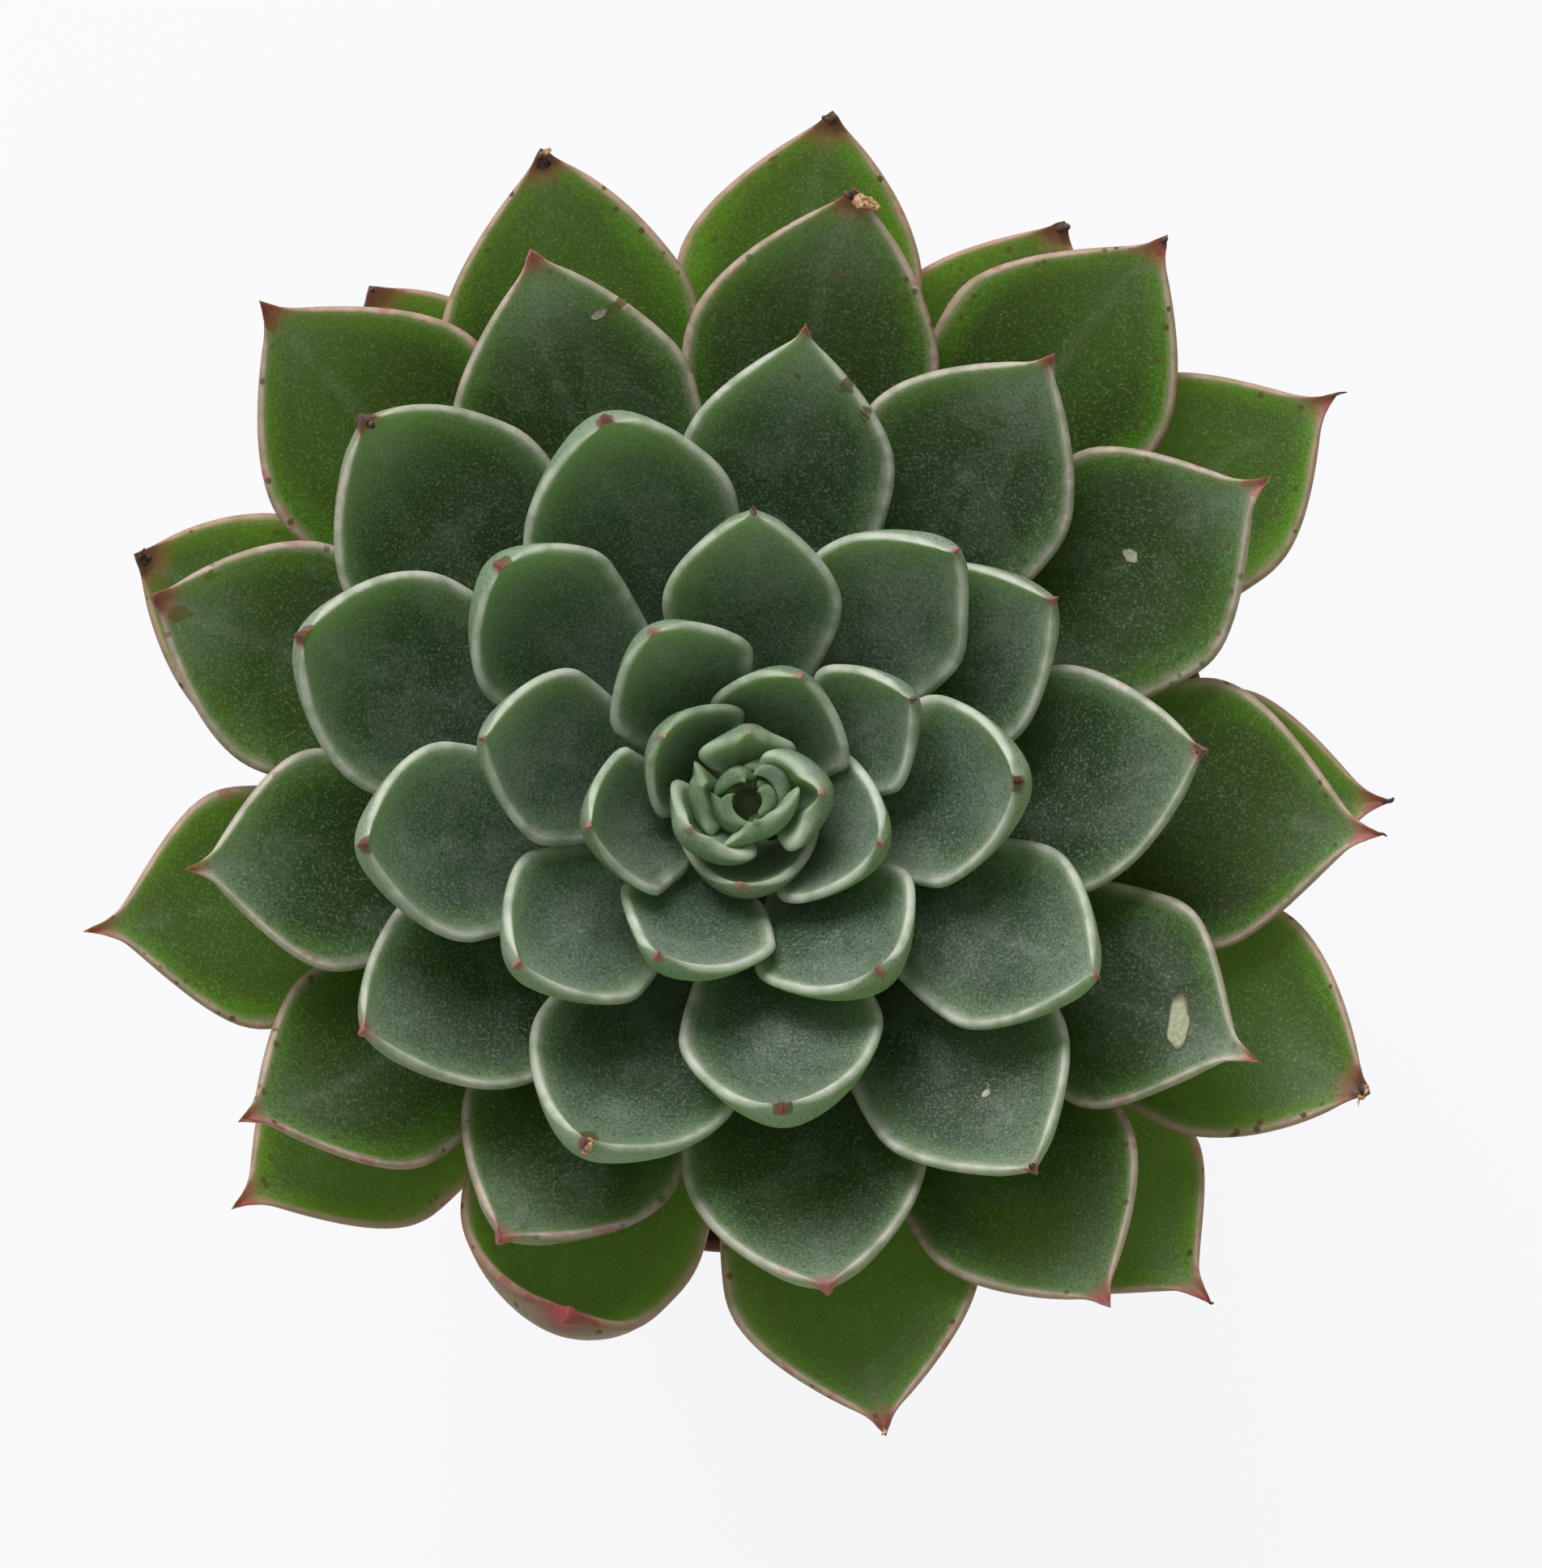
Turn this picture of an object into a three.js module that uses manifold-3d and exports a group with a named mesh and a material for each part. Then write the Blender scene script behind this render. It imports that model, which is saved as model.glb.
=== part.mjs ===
// A rosette succulent in a round nursery pot. Units are millimetres, +Z is up, and the origin is the middle
// of the pot's flat underside. Seen from above, +Y is the side that the rosette leans towards.
//
// The leaves stand on the stem in one spiral, about 138 degrees from each leaf to the next. Each leaf's upper
// face lies on a bowl round the stem's axis, and the bowls nest, so that leaves overlap without touching.
import * as THREE from "three";
import { mergeVertices } from "three/addons/utils/BufferGeometryUtils.js";
import Module from "manifold-3d";

// Pot
const POT_HEIGHT = 93;
const RIM_RADIUS = 52.5;
const RIM_DEPTH = 9;
const RIM_STEP = 1.6;
const BASE_RADIUS = 38;
const WALL = 1.1;
const DRAIN_COUNT = 8;
const DRAIN_RADIUS = 2.9;
const CHANNEL_INNER = 25;
const CHANNEL_OUTER = 34;
const CHANNEL_LIFT = 2;

// Soil and the gap that pieces keep to each other
const SOIL_TOP = 84;
const SOIL_WAVE = 0.5;
const GAP = 0.3;

// Plant: the stem's foot stands behind the pot's middle, and the rosette leans over it
const LEAN = THREE.MathUtils.degToRad(6);
const CROWN_BASE = 98;
const HEART_HEIGHT = 47;
const STEM_RADIUS = 6.8;
const STEM_TOP_RADIUS = 2.3;
const STEM_TOP = 34;
const ROOT_DEPTH = 44;
const OLDEST = 59;

// Leaf form
const LEAF_SIDES = 10;
const LEAF_RINGS = 10;
const TIP_CROWDING = 1.4; // over 1 puts more of a leaf's rings near its tip
const LEAF_THICKNESS = 4.2;
const BASE_SPREAD = 0.42; // half the angle that a leaf's foot takes up on the stem, in radians
const CURL = THREE.MathUtils.degToRad(40);
const CURL_FROM = 0.7;
const TIP_SPAN = 1.3; // how far the widest place is from the tip, in half-widths
const FOOT_SHARE = 0.24; // how wide a leaf is at its foot, as a share of its widest

// The leaves, oldest first: [place in the spiral, azimuth in degrees, reach, width, curl, sway].
// Azimuth and reach say where the tip comes, seen from above, and curl is how far the tip turns inwards.
// Sway is how many degrees the leaf's body stands ahead of its tip.
const LEAVES = [
  [59, 61, 71, 26, -0.1, 1],
  [57, 127, 68.5, 26, 0.2, 1],
  [56, 359, 70.5, 26, 0, 1],
  [55, 219, 72.5, 25.5, 0, 1],
  [54, 83, 74, 28, 0, 1.5],
  [53, 312, 75, 24.5, 0, 0],
  [52, 159, 71.5, 26, 0, 1],
  [51, 34, 77, 26.5, -0.1, 1.5],
  [50, 251, 63.5, 28, 0.9, -3],
  [49, 108, 72.5, 30, 0, 3],
  [48, 334, 74.5, 27.5, 0, 1.5],
  [47, 192, 73.5, 27.5, 0, 0],
  [46, 53, 74.5, 28.5, 0, 1.5],
  [45, 282, 70.5, 29, 0.1, 0.5],
  [44, 135, 74, 30, 0, 0],
  [43, 356, 68.5, 29, 0, 1.5],
  [42, 213, 65, 25.5, 0.2, 2],
  [41, 80, 65, 29, 0, 2],
  [40, 305, 67, 27, 0.1, 1],
  [39, 162, 67, 26.5, 0, 0.5],
  [38, 31, 64, 26.5, 0, 1.5],
  [37, 241, 54.5, 26, 0.5, 1],
  [36, 112, 61.5, 28.5, 0, 2.5],
  [35, 332, 61.5, 25.5, 0, 0],
  [34, 188, 60.5, 25, 0, 0],
  [33, 55, 56, 26.5, 0.1, 1.5],
  [32, 279, 53, 27.5, 0.4, 0],
  [31, 136, 56, 28, 0.5, 2],
  [30, 5, 48.5, 26, 0.1, -1],
  [29, 212, 48, 25, 0.3, 2],
  [28, 83, 49, 24, 0, 0.5],
  [27, 307, 50, 24.5, 0.1, 2],
  [26, 161, 49.5, 25.5, 0.5, 0],
  [25, 32, 38, 22.5, 0.2, 2.5],
  [24, 245, 40.5, 24.5, 0.6, 1.5],
  [23, 111, 41, 25, 0.6, 2.5],
  [22, 332, 41.5, 22.5, 0.1, 0],
  [21, 188, 40.5, 22.5, 0.4, 0],
  [20, 49, 33, 20.5, 0.2, 5],
  [19, 276, 33, 23, 0.6, 2],
  [18, 138, 34.5, 20.5, 0.5, 1.5],
  [17, 2, 28, 22, 0.5, 1],
  [16, 217, 30, 20.5, 0.2, 0],
  [15, 89, 29, 20, 0, 0],
  [14, 306, 23, 21, 0.5, -1.5],
  [13, 169, 28.3, 20, 0, -1.5],
  [12, 29, 19.5, 16.5, 0, 3],
  [11, 241, 19.5, 19, 0.3, 6],
  [10, 121, 19, 18.5, 0.2, 0],
  [9, 338, 14.7, 18, 0.2, 0],
  [8, 193, 17, 17.5, 0, -1],
  [7, 65, 12.8, 16.5, 0.1, 4],
  [6, 265, 9.8, 17, 0.3, 4],
  [5, 148, 10.3, 15, 0.4, 0],
];

const wasm = await Module();
wasm.setup();

// A closed three.js geometry as a manifold-3d solid.
function solidOf(geometry) {
  const bare = geometry.clone();
  bare.deleteAttribute("normal");
  bare.deleteAttribute("uv");
  const merged = mergeVertices(bare, 1e-4);
  return new wasm.Manifold(
    new wasm.Mesh({
      numProp: 3,
      vertProperties: merged.attributes.position.array,
      triVerts: new Uint32Array(merged.index.array),
    }),
  );
}

function geometryOf(solid) {
  const mesh = solid.getMesh();
  const geometry = new THREE.BufferGeometry();
  geometry.setAttribute("position", new THREE.BufferAttribute(mesh.vertProperties, 3));
  geometry.setIndex(new THREE.BufferAttribute(mesh.triVerts, 1));
  geometry.computeVertexNormals();
  return geometry;
}

// A solid turned round +Z from [radius, height] points that run up the outside.
function turned(points, sides) {
  const profile = points.map(([r, z]) => new THREE.Vector2(r, z));
  return new THREE.LatheGeometry(profile, sides).rotateX(Math.PI / 2);
}

function named(name, geometry, material) {
  const mesh = new THREE.Mesh(geometry, material);
  mesh.name = name;
  return mesh;
}

// --- Pot and soil ---

const neckHeight = POT_HEIGHT - RIM_DEPTH;
const neckRadius = RIM_RADIUS - RIM_STEP - 0.6;

// The pot's outer wall under the rim, as a radius at a height.
function wallRadius(z) {
  return BASE_RADIUS + ((neckRadius - BASE_RADIUS) * z) / neckHeight;
}

function potSolid() {
  const floor = WALL + 0.5;
  const lifted = floor + CHANNEL_LIFT;
  const shell = solidOf(
    turned(
      [
        [0, 0],
        [CHANNEL_INNER, 0],
        [CHANNEL_INNER + 1, CHANNEL_LIFT],
        [CHANNEL_OUTER - 1, CHANNEL_LIFT],
        [CHANNEL_OUTER, 0],
        [BASE_RADIUS - 1, 0],
        [wallRadius(1), 1],
        [neckRadius, neckHeight],
        [RIM_RADIUS - 0.5, neckHeight],
        [RIM_RADIUS, neckHeight + 0.5],
        [RIM_RADIUS, POT_HEIGHT - 0.6],
        [RIM_RADIUS - 0.5, POT_HEIGHT],
        [RIM_RADIUS - WALL, POT_HEIGHT],
        [RIM_RADIUS - WALL - 0.4, POT_HEIGHT - 0.6],
        [RIM_RADIUS - WALL - 0.4, neckHeight + 1.2],
        [neckRadius - WALL, neckHeight - 0.6],
        [wallRadius(lifted) - WALL, lifted],
        [CHANNEL_INNER - 0.5, lifted],
        [CHANNEL_INNER - 1.5, floor],
        [0, floor],
      ],
      48,
    ),
  );
  const drainCircle = (CHANNEL_INNER + CHANNEL_OUTER) / 2;
  let pot = shell;
  for (let i = 0; i < DRAIN_COUNT; i += 1) {
    const angle = (i * 2 * Math.PI) / DRAIN_COUNT;
    const drill = new THREE.CylinderGeometry(DRAIN_RADIUS, DRAIN_RADIUS, 4 * CHANNEL_LIFT, 12)
      .rotateX(Math.PI / 2)
      .translate(drainCircle * Math.cos(angle), drainCircle * Math.sin(angle), CHANNEL_LIFT);
    pot = pot.subtract(solidOf(drill));
  }
  return pot;
}

// Height of the soil's uneven top, a few low waves.
function soilHeight(x, y) {
  return SOIL_TOP + SOIL_WAVE * (Math.sin(x / 7 + 1) + Math.sin(y / 6 + x / 15) * Math.cos(x / 11));
}

function soilGeometry() {
  const floor = WALL + 0.5 + GAP;
  const lifted = floor + CHANNEL_LIFT;
  const inside = (z) => wallRadius(z) - WALL - GAP;
  const topRings = [48, 40, 31, 22, 13].map((r) => [Math.min(r, inside(SOIL_TOP - 2) - 1), SOIL_TOP]);
  const plug = turned(
    [
      [0, floor],
      [CHANNEL_INNER - 1.5 - GAP, floor],
      [CHANNEL_INNER - 0.5, lifted],
      [inside(lifted), lifted],
      [inside(SOIL_TOP - 2), SOIL_TOP - 2],
      ...topRings,
      [0, SOIL_TOP],
    ],
    36,
  );
  const position = plug.attributes.position;
  for (let i = 0; i < position.count; i += 1) {
    if (position.getZ(i) > SOIL_TOP - 1) {
      position.setZ(i, soilHeight(position.getX(i), position.getY(i)));
    }
  }
  return plug;
}

// --- Plant ---

// The crown's own frame: its origin is where the oldest leaf joins the stem, and its axis leans.
const crown = new THREE.Group();
crown.rotation.x = -LEAN;
crown.position.set(0, -HEART_HEIGHT * Math.sin(LEAN), CROWN_BASE);
crown.updateMatrixWorld(true);

function stemRadius(z) {
  const climb = Math.max(z, 0) / STEM_TOP;
  return STEM_RADIUS - (STEM_RADIUS - STEM_TOP_RADIUS) * climb ** 1.3;
}

// The stem with its root, and the same shape a little larger for the hollow in the soil.
function stemGeometry(extra, sides) {
  const up = [0, 0.25, 0.5, 0.75, 1].map((t) => [stemRadius(t * STEM_TOP) + extra, t * STEM_TOP]);
  return turned(
    [
      [0, -ROOT_DEPTH - extra],
      [1.6 + extra, -ROOT_DEPTH - extra],
      [3.2 + extra, -0.7 * ROOT_DEPTH],
      [STEM_RADIUS - 1 + extra, -0.4 * ROOT_DEPTH],
      [STEM_RADIUS - 0.3 + extra, -0.15 * ROOT_DEPTH],
      ...up,
      [0, STEM_TOP + extra],
    ],
    sides,
  );
}

// How a leaf leaves the stem, and how steep it is at its tip. Young leaves stand, and old ones lie.
const footSlope = (order) => THREE.MathUtils.degToRad(1 + 51 * Math.exp(-order / 24));
const tipSlope = (order) => THREE.MathUtils.degToRad(8 + 88 * Math.exp(-order / 32));
const footHeight = (order) => (STEM_TOP - 2) * (1 - order / OLDEST);

function smooth(t) {
  const x = THREE.MathUtils.clamp(t, 0, 1);
  return x * x * (3 - 2 * x);
}

// The line up the middle of a leaf's upper face, as [radius, height, slope] at each share of its length.
const LINE_STEPS = 60;
function midLine(leaf) {
  const from = footSlope(leaf.order);
  const to = tipSlope(leaf.order);
  const line = [];
  let z = footHeight(leaf.order);
  let r = stemRadius(z) + GAP;
  for (let i = 0; i <= LINE_STEPS; i += 1) {
    const s = i / LINE_STEPS;
    const bend = leaf.curl * CURL * smooth((s - CURL_FROM) / (1 - CURL_FROM));
    const slope = from + (to - from) * s ** 1.2 + bend;
    line.push([r, z, slope]);
    r += (Math.cos(slope) * leaf.length) / LINE_STEPS;
    z += (Math.sin(slope) * leaf.length) / LINE_STEPS;
  }
  return line;
}

function alongLine(line, s) {
  const at = THREE.MathUtils.clamp(s, 0, 1) * LINE_STEPS;
  const i = Math.min(Math.floor(at), LINE_STEPS - 1);
  return line[i].map((value, j) => THREE.MathUtils.lerp(value, line[i + 1][j], at - i));
}

// Half-width at s as a share of the widest: a pointed arch to the tip, and a slow taper to the foot.
function outline(leaf, s) {
  const tipSpan = (TIP_SPAN * leaf.halfWidth) / leaf.length;
  const arch = Math.sin((Math.PI / 2) * Math.min((1 - s) / tipSpan, 1) ** 0.86);
  return arch * (FOOT_SHARE + (1 - FOOT_SHARE) * smooth(s / (1 - tipSpan)));
}

// A leaf is thin where it joins the stem, fullest past its middle, and closes round at its tip.
function thickness(leaf, s) {
  const swell = 0.42 + 0.58 * smooth(s / 0.6);
  const close = Math.sqrt(Math.max(1 - s ** 7, 0));
  const age = 0.4 + 0.6 * smooth(leaf.order / 24);
  return LEAF_THICKNESS * age * swell * close;
}

// A point of a leaf in the crown's frame: s runs from foot to tip, and turn runs round its section,
// over the flat upper face from 0 to pi and back under the rounded lower face.
function leafPoint(leaf, s, turn) {
  const [r, z, slope] = alongLine(leaf.line, s);
  const foot = (stemRadius(footHeight(leaf.order)) * BASE_SPREAD) / leaf.halfWidth;
  const full = outline(leaf, s);
  const share = THREE.MathUtils.lerp(Math.min(foot, full), full, smooth(s / 0.35));
  const depth = thickness(leaf, s) * Math.max(-Math.sin(turn), 0);
  const sway = leaf.sway * smooth(s / 0.5) * (1 - smooth((s - 0.78) / 0.22));
  const angle = leaf.azimuth + sway + (Math.cos(turn) * share * leaf.halfWidth) / r;
  const out = r + depth * Math.sin(slope);
  return new THREE.Vector3(out * Math.cos(angle), out * Math.sin(angle), z - depth * Math.cos(slope));
}

// Finds the azimuth on the stem and the length that bring a leaf's tip to its place seen from above.
function grown([order, azimuth, reach, width, curl, swayDegrees]) {
  const aim = THREE.MathUtils.degToRad(azimuth);
  const sway = THREE.MathUtils.degToRad(swayDegrees);
  const leaf = { order, curl, sway, azimuth: aim, halfWidth: width / 2, length: reach };
  for (let i = 0; i < 30; i += 1) {
    leaf.line = midLine(leaf);
    const tip = leafPoint(leaf, 1, 0).applyMatrix4(crown.matrixWorld);
    const error = Math.atan2(tip.y, tip.x) - aim;
    leaf.azimuth -= Math.atan2(Math.sin(error), Math.cos(error));
    leaf.length += (reach - Math.hypot(tip.x, tip.y)) * 0.8;
  }
  return leaf;
}

// A sphere whose first pole is the leaf's foot and whose last pole is its tip, moved to the leaf's shape.
function leafGeometry(leaf) {
  const sphere = new THREE.SphereGeometry(1, LEAF_SIDES, LEAF_RINGS);
  const position = sphere.attributes.position;
  const perRing = LEAF_SIDES + 1;
  for (let i = 0; i < position.count; i += 1) {
    const ring = Math.floor(i / perRing);
    const turn = (-2 * Math.PI * (i % perRing)) / LEAF_SIDES;
    const s = ring === 0 ? 0 : 1 - (1 - (ring - 1) / (LEAF_RINGS - 1)) ** TIP_CROWDING;
    const point = leafPoint(leaf, s, turn);
    if (ring === 0) point.copy(leafPoint(leaf, 0, Math.PI / 2)).lerp(leafPoint(leaf, 0, -Math.PI / 2), 0.5);
    if (ring === LEAF_RINGS) point.copy(leafPoint(leaf, 1, 0));
    position.setXYZ(i, point.x, point.y, point.z);
  }
  return sphere;
}

// The youngest leaves, still closed round the growing point.
function budGeometry() {
  const foot = STEM_TOP + GAP;
  return turned(
    [
      [0, foot],
      [2.2, foot],
      [4.6, foot + 1.8],
      [6, foot + 3.8],
      [6.4, foot + 5.6],
      [5.4, foot + 7],
      [2.8, foot + 7.8],
      [0, foot + 8],
    ],
    16,
  );
}

const potPlastic = new THREE.MeshStandardMaterial({ color: 0x8c3b24, roughness: 0.55, metalness: 0 });
const potSoil = new THREE.MeshStandardMaterial({ color: 0x2e221a, roughness: 1, metalness: 0 });
const stemSkin = new THREE.MeshStandardMaterial({ color: 0x7a6a45, roughness: 0.85, metalness: 0 });
const budSkin = new THREE.MeshStandardMaterial({ color: 0x4c6b3c, roughness: 0.6, metalness: 0 });
const youngLeaf = new THREE.Color(0x46624c);
const oldLeaf = new THREE.Color(0x4c7a1e);

const plant = new THREE.Group();

plant.add(named("pot", geometryOf(potSolid()), potPlastic));

const hollow = solidOf(stemGeometry(GAP, 16).applyMatrix4(crown.matrixWorld));
plant.add(named("soil", geometryOf(solidOf(soilGeometry()).subtract(hollow)), potSoil));

crown.add(named("stem", stemGeometry(0, 16), stemSkin));
crown.add(named("bud", budGeometry(), budSkin));
LEAVES.forEach((row, i) => {
  const leaf = grown(row);
  const color = youngLeaf.clone().lerp(oldLeaf, leaf.order / OLDEST);
  const skin = new THREE.MeshStandardMaterial({ color, roughness: 0.6, metalness: 0 });
  crown.add(named(`leaf_${String(i + 1).padStart(2, "0")}`, leafGeometry(leaf), skin));
});
plant.add(crown);

export default plant;
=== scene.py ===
import math
import random

import bmesh
import bpy
from mathutils import Matrix, Vector, noise


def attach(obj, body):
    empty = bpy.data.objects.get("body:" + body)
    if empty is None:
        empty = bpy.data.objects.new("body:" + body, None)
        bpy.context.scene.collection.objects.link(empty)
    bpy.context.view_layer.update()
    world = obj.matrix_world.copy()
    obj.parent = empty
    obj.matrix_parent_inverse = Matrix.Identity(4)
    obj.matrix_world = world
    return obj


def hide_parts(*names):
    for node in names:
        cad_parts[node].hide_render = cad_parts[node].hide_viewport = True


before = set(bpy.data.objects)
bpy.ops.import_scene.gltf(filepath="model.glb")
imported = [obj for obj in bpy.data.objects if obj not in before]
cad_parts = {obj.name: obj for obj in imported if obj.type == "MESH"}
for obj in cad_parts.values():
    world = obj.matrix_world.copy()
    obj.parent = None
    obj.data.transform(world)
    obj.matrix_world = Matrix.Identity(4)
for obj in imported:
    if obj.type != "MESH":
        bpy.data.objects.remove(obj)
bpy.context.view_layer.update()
mm = 0.001
print("frame loaded, nodes:", len(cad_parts))


def smooth(t):
    t = min(max(t, 0.0), 1.0)
    return t * t * (3 - 2 * t)


def mix(a, b, t):
    return a + (b - a) * t


# sRGB hex to linear
def tint(hexValue):
    channels = [int(hexValue[i:i + 2], 16) / 255 for i in (1, 3, 5)]
    linear = [c / 12.92 if c <= 0.04045 else ((c + 0.055) / 1.055) ** 2.4 for c in channels]
    return (*linear, 1.0)


# Adds a node and gives back one of its outputs. An input is a value, a hex colour or another node's output.
def addNode(tree, kind, inputs=None, output=0, stops=None, **settings):
    node = tree.nodes.new("ShaderNode" + kind)
    for key, value in settings.items():
        setattr(node, key, value)
    for socket, value in (inputs or {}).items():
        if isinstance(value, bpy.types.NodeSocket):
            tree.links.new(value, node.inputs[socket])
        else:
            node.inputs[socket].default_value = tint(value) if isinstance(value, str) else value
    if stops:
        ramp = node.color_ramp
        while len(ramp.elements) < len(stops):
            ramp.elements.new(0.5)
        for element, (position, colour) in zip(ramp.elements, stops):
            element.position = position
            element.color = tint(colour) if isinstance(colour, str) else (colour, colour, colour, 1)
    return node.outputs[output] if node.outputs else None


def newMaterial(name):
    material = bpy.data.materials.new(name)
    material.use_nodes = True
    material.node_tree.nodes.clear()
    return material, material.node_tree


def finishPiece(bm, name, material, nodes):
    bmesh.ops.recalc_face_normals(bm, faces=bm.faces)
    mesh = bpy.data.meshes.new(name)
    bm.to_mesh(mesh)
    bm.free()
    mesh.shade_smooth()
    piece = bpy.data.objects.new(name, mesh)
    bpy.context.scene.collection.objects.link(piece)
    mesh.materials.append(material)
    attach(piece, "root")
    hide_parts(*nodes)
    return piece


# Camera straight above the rosette, looking down. It sees this width at the level of the leaf tips.
view = {"aboveTips": 800 * mm, "tipLevel": 116 * mm, "offCentre": (2.4 * mm, 0.6 * mm), "seen": 172.3 * mm}

cameraData = bpy.data.cameras.new("camera")
camera = bpy.data.objects.new("camera", cameraData)
bpy.context.scene.collection.objects.link(camera)
camera.location = (*view["offCentre"], view["tipLevel"] + view["aboveTips"])
cameraData.sensor_width = 36
cameraData.lens = cameraData.sensor_width * view["aboveTips"] / view["seen"]
cameraData.clip_start = 0.01
cameraData.clip_end = 20
cameraData.dof.use_dof = False
bpy.context.scene.camera = camera


# The plant's build, in millimetres in the crown's own frame, which leans
crown = {
    "lean": math.radians(6),
    "base": 98,
    "heart": 47,
    "stemRadius": 6.8,
    "stemTopRadius": 2.3,
    "stemTop": 34,
    "oldest": 59,
    "gap": 0.3,
}
crownToRow = (
    Matrix.Scale(mm, 4)
    @ Matrix.Translation((0, -crown["heart"] * math.sin(crown["lean"]), crown["base"]))
    @ Matrix.Rotation(-crown["lean"], 4, "X")
)

leafForm = {
    "thickness": 4.2,
    "curl": math.radians(40),
    "curlFrom": 0.7,
    "tipSpan": 1.3,  # from the widest place to the tip, in half-widths
    "squareSpan": 0.95,  # the same on young leaves, which have corners
    "cornerWear": 1.5,  # how far a corner is rounded on a 20 mm wide leaf
    "footShare": 0.24,
    "footSpread": 0.42,
    "spine": 0.7,  # length of the little point at the tip
    "spineWidth": 0.5,
    "oldSpineWidth": 0.85,
    "cup": 0.9,
    "keelWidth": 2.2,  # half the width of the folded leaves' raised tip
    "edgeRound": 0.8,  # radius of the soft shoulder along the edge
    "ripple": 0.2,
    "segments": 60,
    "rings": 64,
    "tipCrowding": 1.6,
}

# [place in the spiral, azimuth, reach, width, curl, sway], oldest first
leafPlan = [
    (59, 61, 72.2, 26, -0.1, 1),
    (57, 127, 69.5, 26, 0.2, 1),
    (56, 359, 70.5, 26, 0, 1),
    (55, 219, 72.5, 25.5, 0, 1),
    (54, 83, 75.4, 28, 0, 1.5),
    (53, 312, 75, 24.5, 0, 0),
    (52, 159, 72, 26, 0, 1),
    (51, 34, 77.8, 26.5, -0.1, 1.5),
    (50, 251, 58.8, 28, 1.7, -3),
    (49, 108, 73.8, 30, 0, 3),
    (48, 334, 74.5, 27.5, 0, 1.5),
    (47, 192, 73.5, 27.5, 0, 0),
    (46, 53, 75.6, 28.5, 0, 1.5),
    (45, 282, 70.5, 29, 0.1, 0.5),
    (44, 135, 75, 30, 0, 0),
    (43, 356, 68.5, 29, 0, 1.5),
    (42, 213, 65, 25.5, 0.2, 2),
    (41, 80, 66.2, 29, 0, 2),
    (40, 305, 67, 27, 0.1, 1),
    (39, 162, 67.4, 26.5, 0, 0.5),
    (38, 31, 65.4, 26.5, 0, 1.5),
    (37, 241, 54.5, 26, 0.5, 1),
    (36, 112, 62.6, 28.5, 0, 2.5),
    (35, 332, 61.5, 25.5, 0, 0),
    (34, 188, 60.5, 25, 0, 0),
    (33, 55, 56.9, 26.5, 0.1, 1.5),
    (32, 279, 53, 27.5, 0.4, 0),
    (31, 136, 56.7, 28, 0.5, 2),
    (30, 5, 48.6, 26, 0.1, -1),
    (29, 212, 48, 25, 0.3, 2),
    (28, 83, 49.9, 24, 0, 0.5),
    (27, 307, 50, 24.5, 0.1, 2),
    (26, 161, 49.8, 25.5, 0.5, 0),
    (25, 32, 38.4, 22.5, 0.2, 2.5),
    (24, 245, 40.5, 24.5, 0.6, 1.5),
    (23, 111, 41.7, 25, 0.6, 2.5),
    (22, 332, 41.5, 22.5, 0.1, 0),
    (21, 188, 40.5, 22.5, 0.4, 0),
    (20, 49, 33.5, 20.5, 0.2, 5),
    (19, 276, 33, 23, 0.6, 2),
    (18, 138, 34.9, 20.5, 0.5, 1.5),
    (17, 2, 28, 22, 0.5, 1),
    (16, 217, 30, 20.5, 0.2, 0),
    (15, 89, 29.6, 20, 0, 0),
    (14, 306, 23, 21, 0.5, -1.5),
    (13, 169, 28.4, 20, 0, -1.5),
    (12, 29, 19.7, 16.5, 0, 3),
    (11, 241, 19.5, 19, 0.3, 6),
    (10, 121, 19.3, 18.5, 0.2, 0),
    (9, 338, 14.7, 20, 0.2, 0),
    (8, 193, 17, 17.5, 0, -1),
    (7, 65, 13, 16.5, 0.1, 4),
    (6, 265, 9.8, 17, 0.3, 4),
    (5, 148, 10.4, 15, 0.4, 0),
]

# Over 1 makes the sides run hollow into the tip, and under it makes them rounder
pointed = {
    59: 1.0, 57: 0.6, 56: 1.2, 55: 1.2, 54: 0.98, 53: 1.45, 51: 1.15, 50: 0.75, 49: 0.98, 48: 0.98,
    47: 1.35, 46: 1.15, 45: 1.15, 44: 1.1, 43: 1.35, 42: 1.2, 41: 0.95, 40: 1.1, 39: 0.98, 38: 1.25,
    37: 1.05, 36: 1.05, 35: 1.5, 34: 1.25, 33: 1.12, 32: 0.9, 30: 1.0, 29: 0.9, 28: 1.12, 27: 1.05,
    25: 0.95, 22: 1.0, 21: 0.95, 15: 1.0, 14: 0.8,
}

# Corners: 0 is a round outline and 1 runs straight from the tip to a corner on each side
square = {
    57: 0.9, 50: 0.3, 31: 0.3, 28: 0.0, 23: 0.35, 22: 0.3, 20: 0.4, 18: 0.5, 17: 0.5, 15: 0.15, 13: 0.45,
    12: 0.7,
}

# Length of the little point at the tip, where it isn't the usual one
spines = {
    56: 2.2, 55: 2.4, 53: 2.4, 51: 2.2, 50: 0.3, 47: 3.0, 46: 1.4, 45: 1.6, 44: 1.6, 43: 2.4, 42: 2.2,
    40: 1.4, 38: 2.4, 37: 1.3, 36: 1.0, 35: 2.8, 34: 2.4, 33: 1.4, 28: 1.2, 25: 1.1, 22: 1.4, 20: 1.2,
    15: 1.4, 13: 1.2, 12: 1.0,
}

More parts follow.
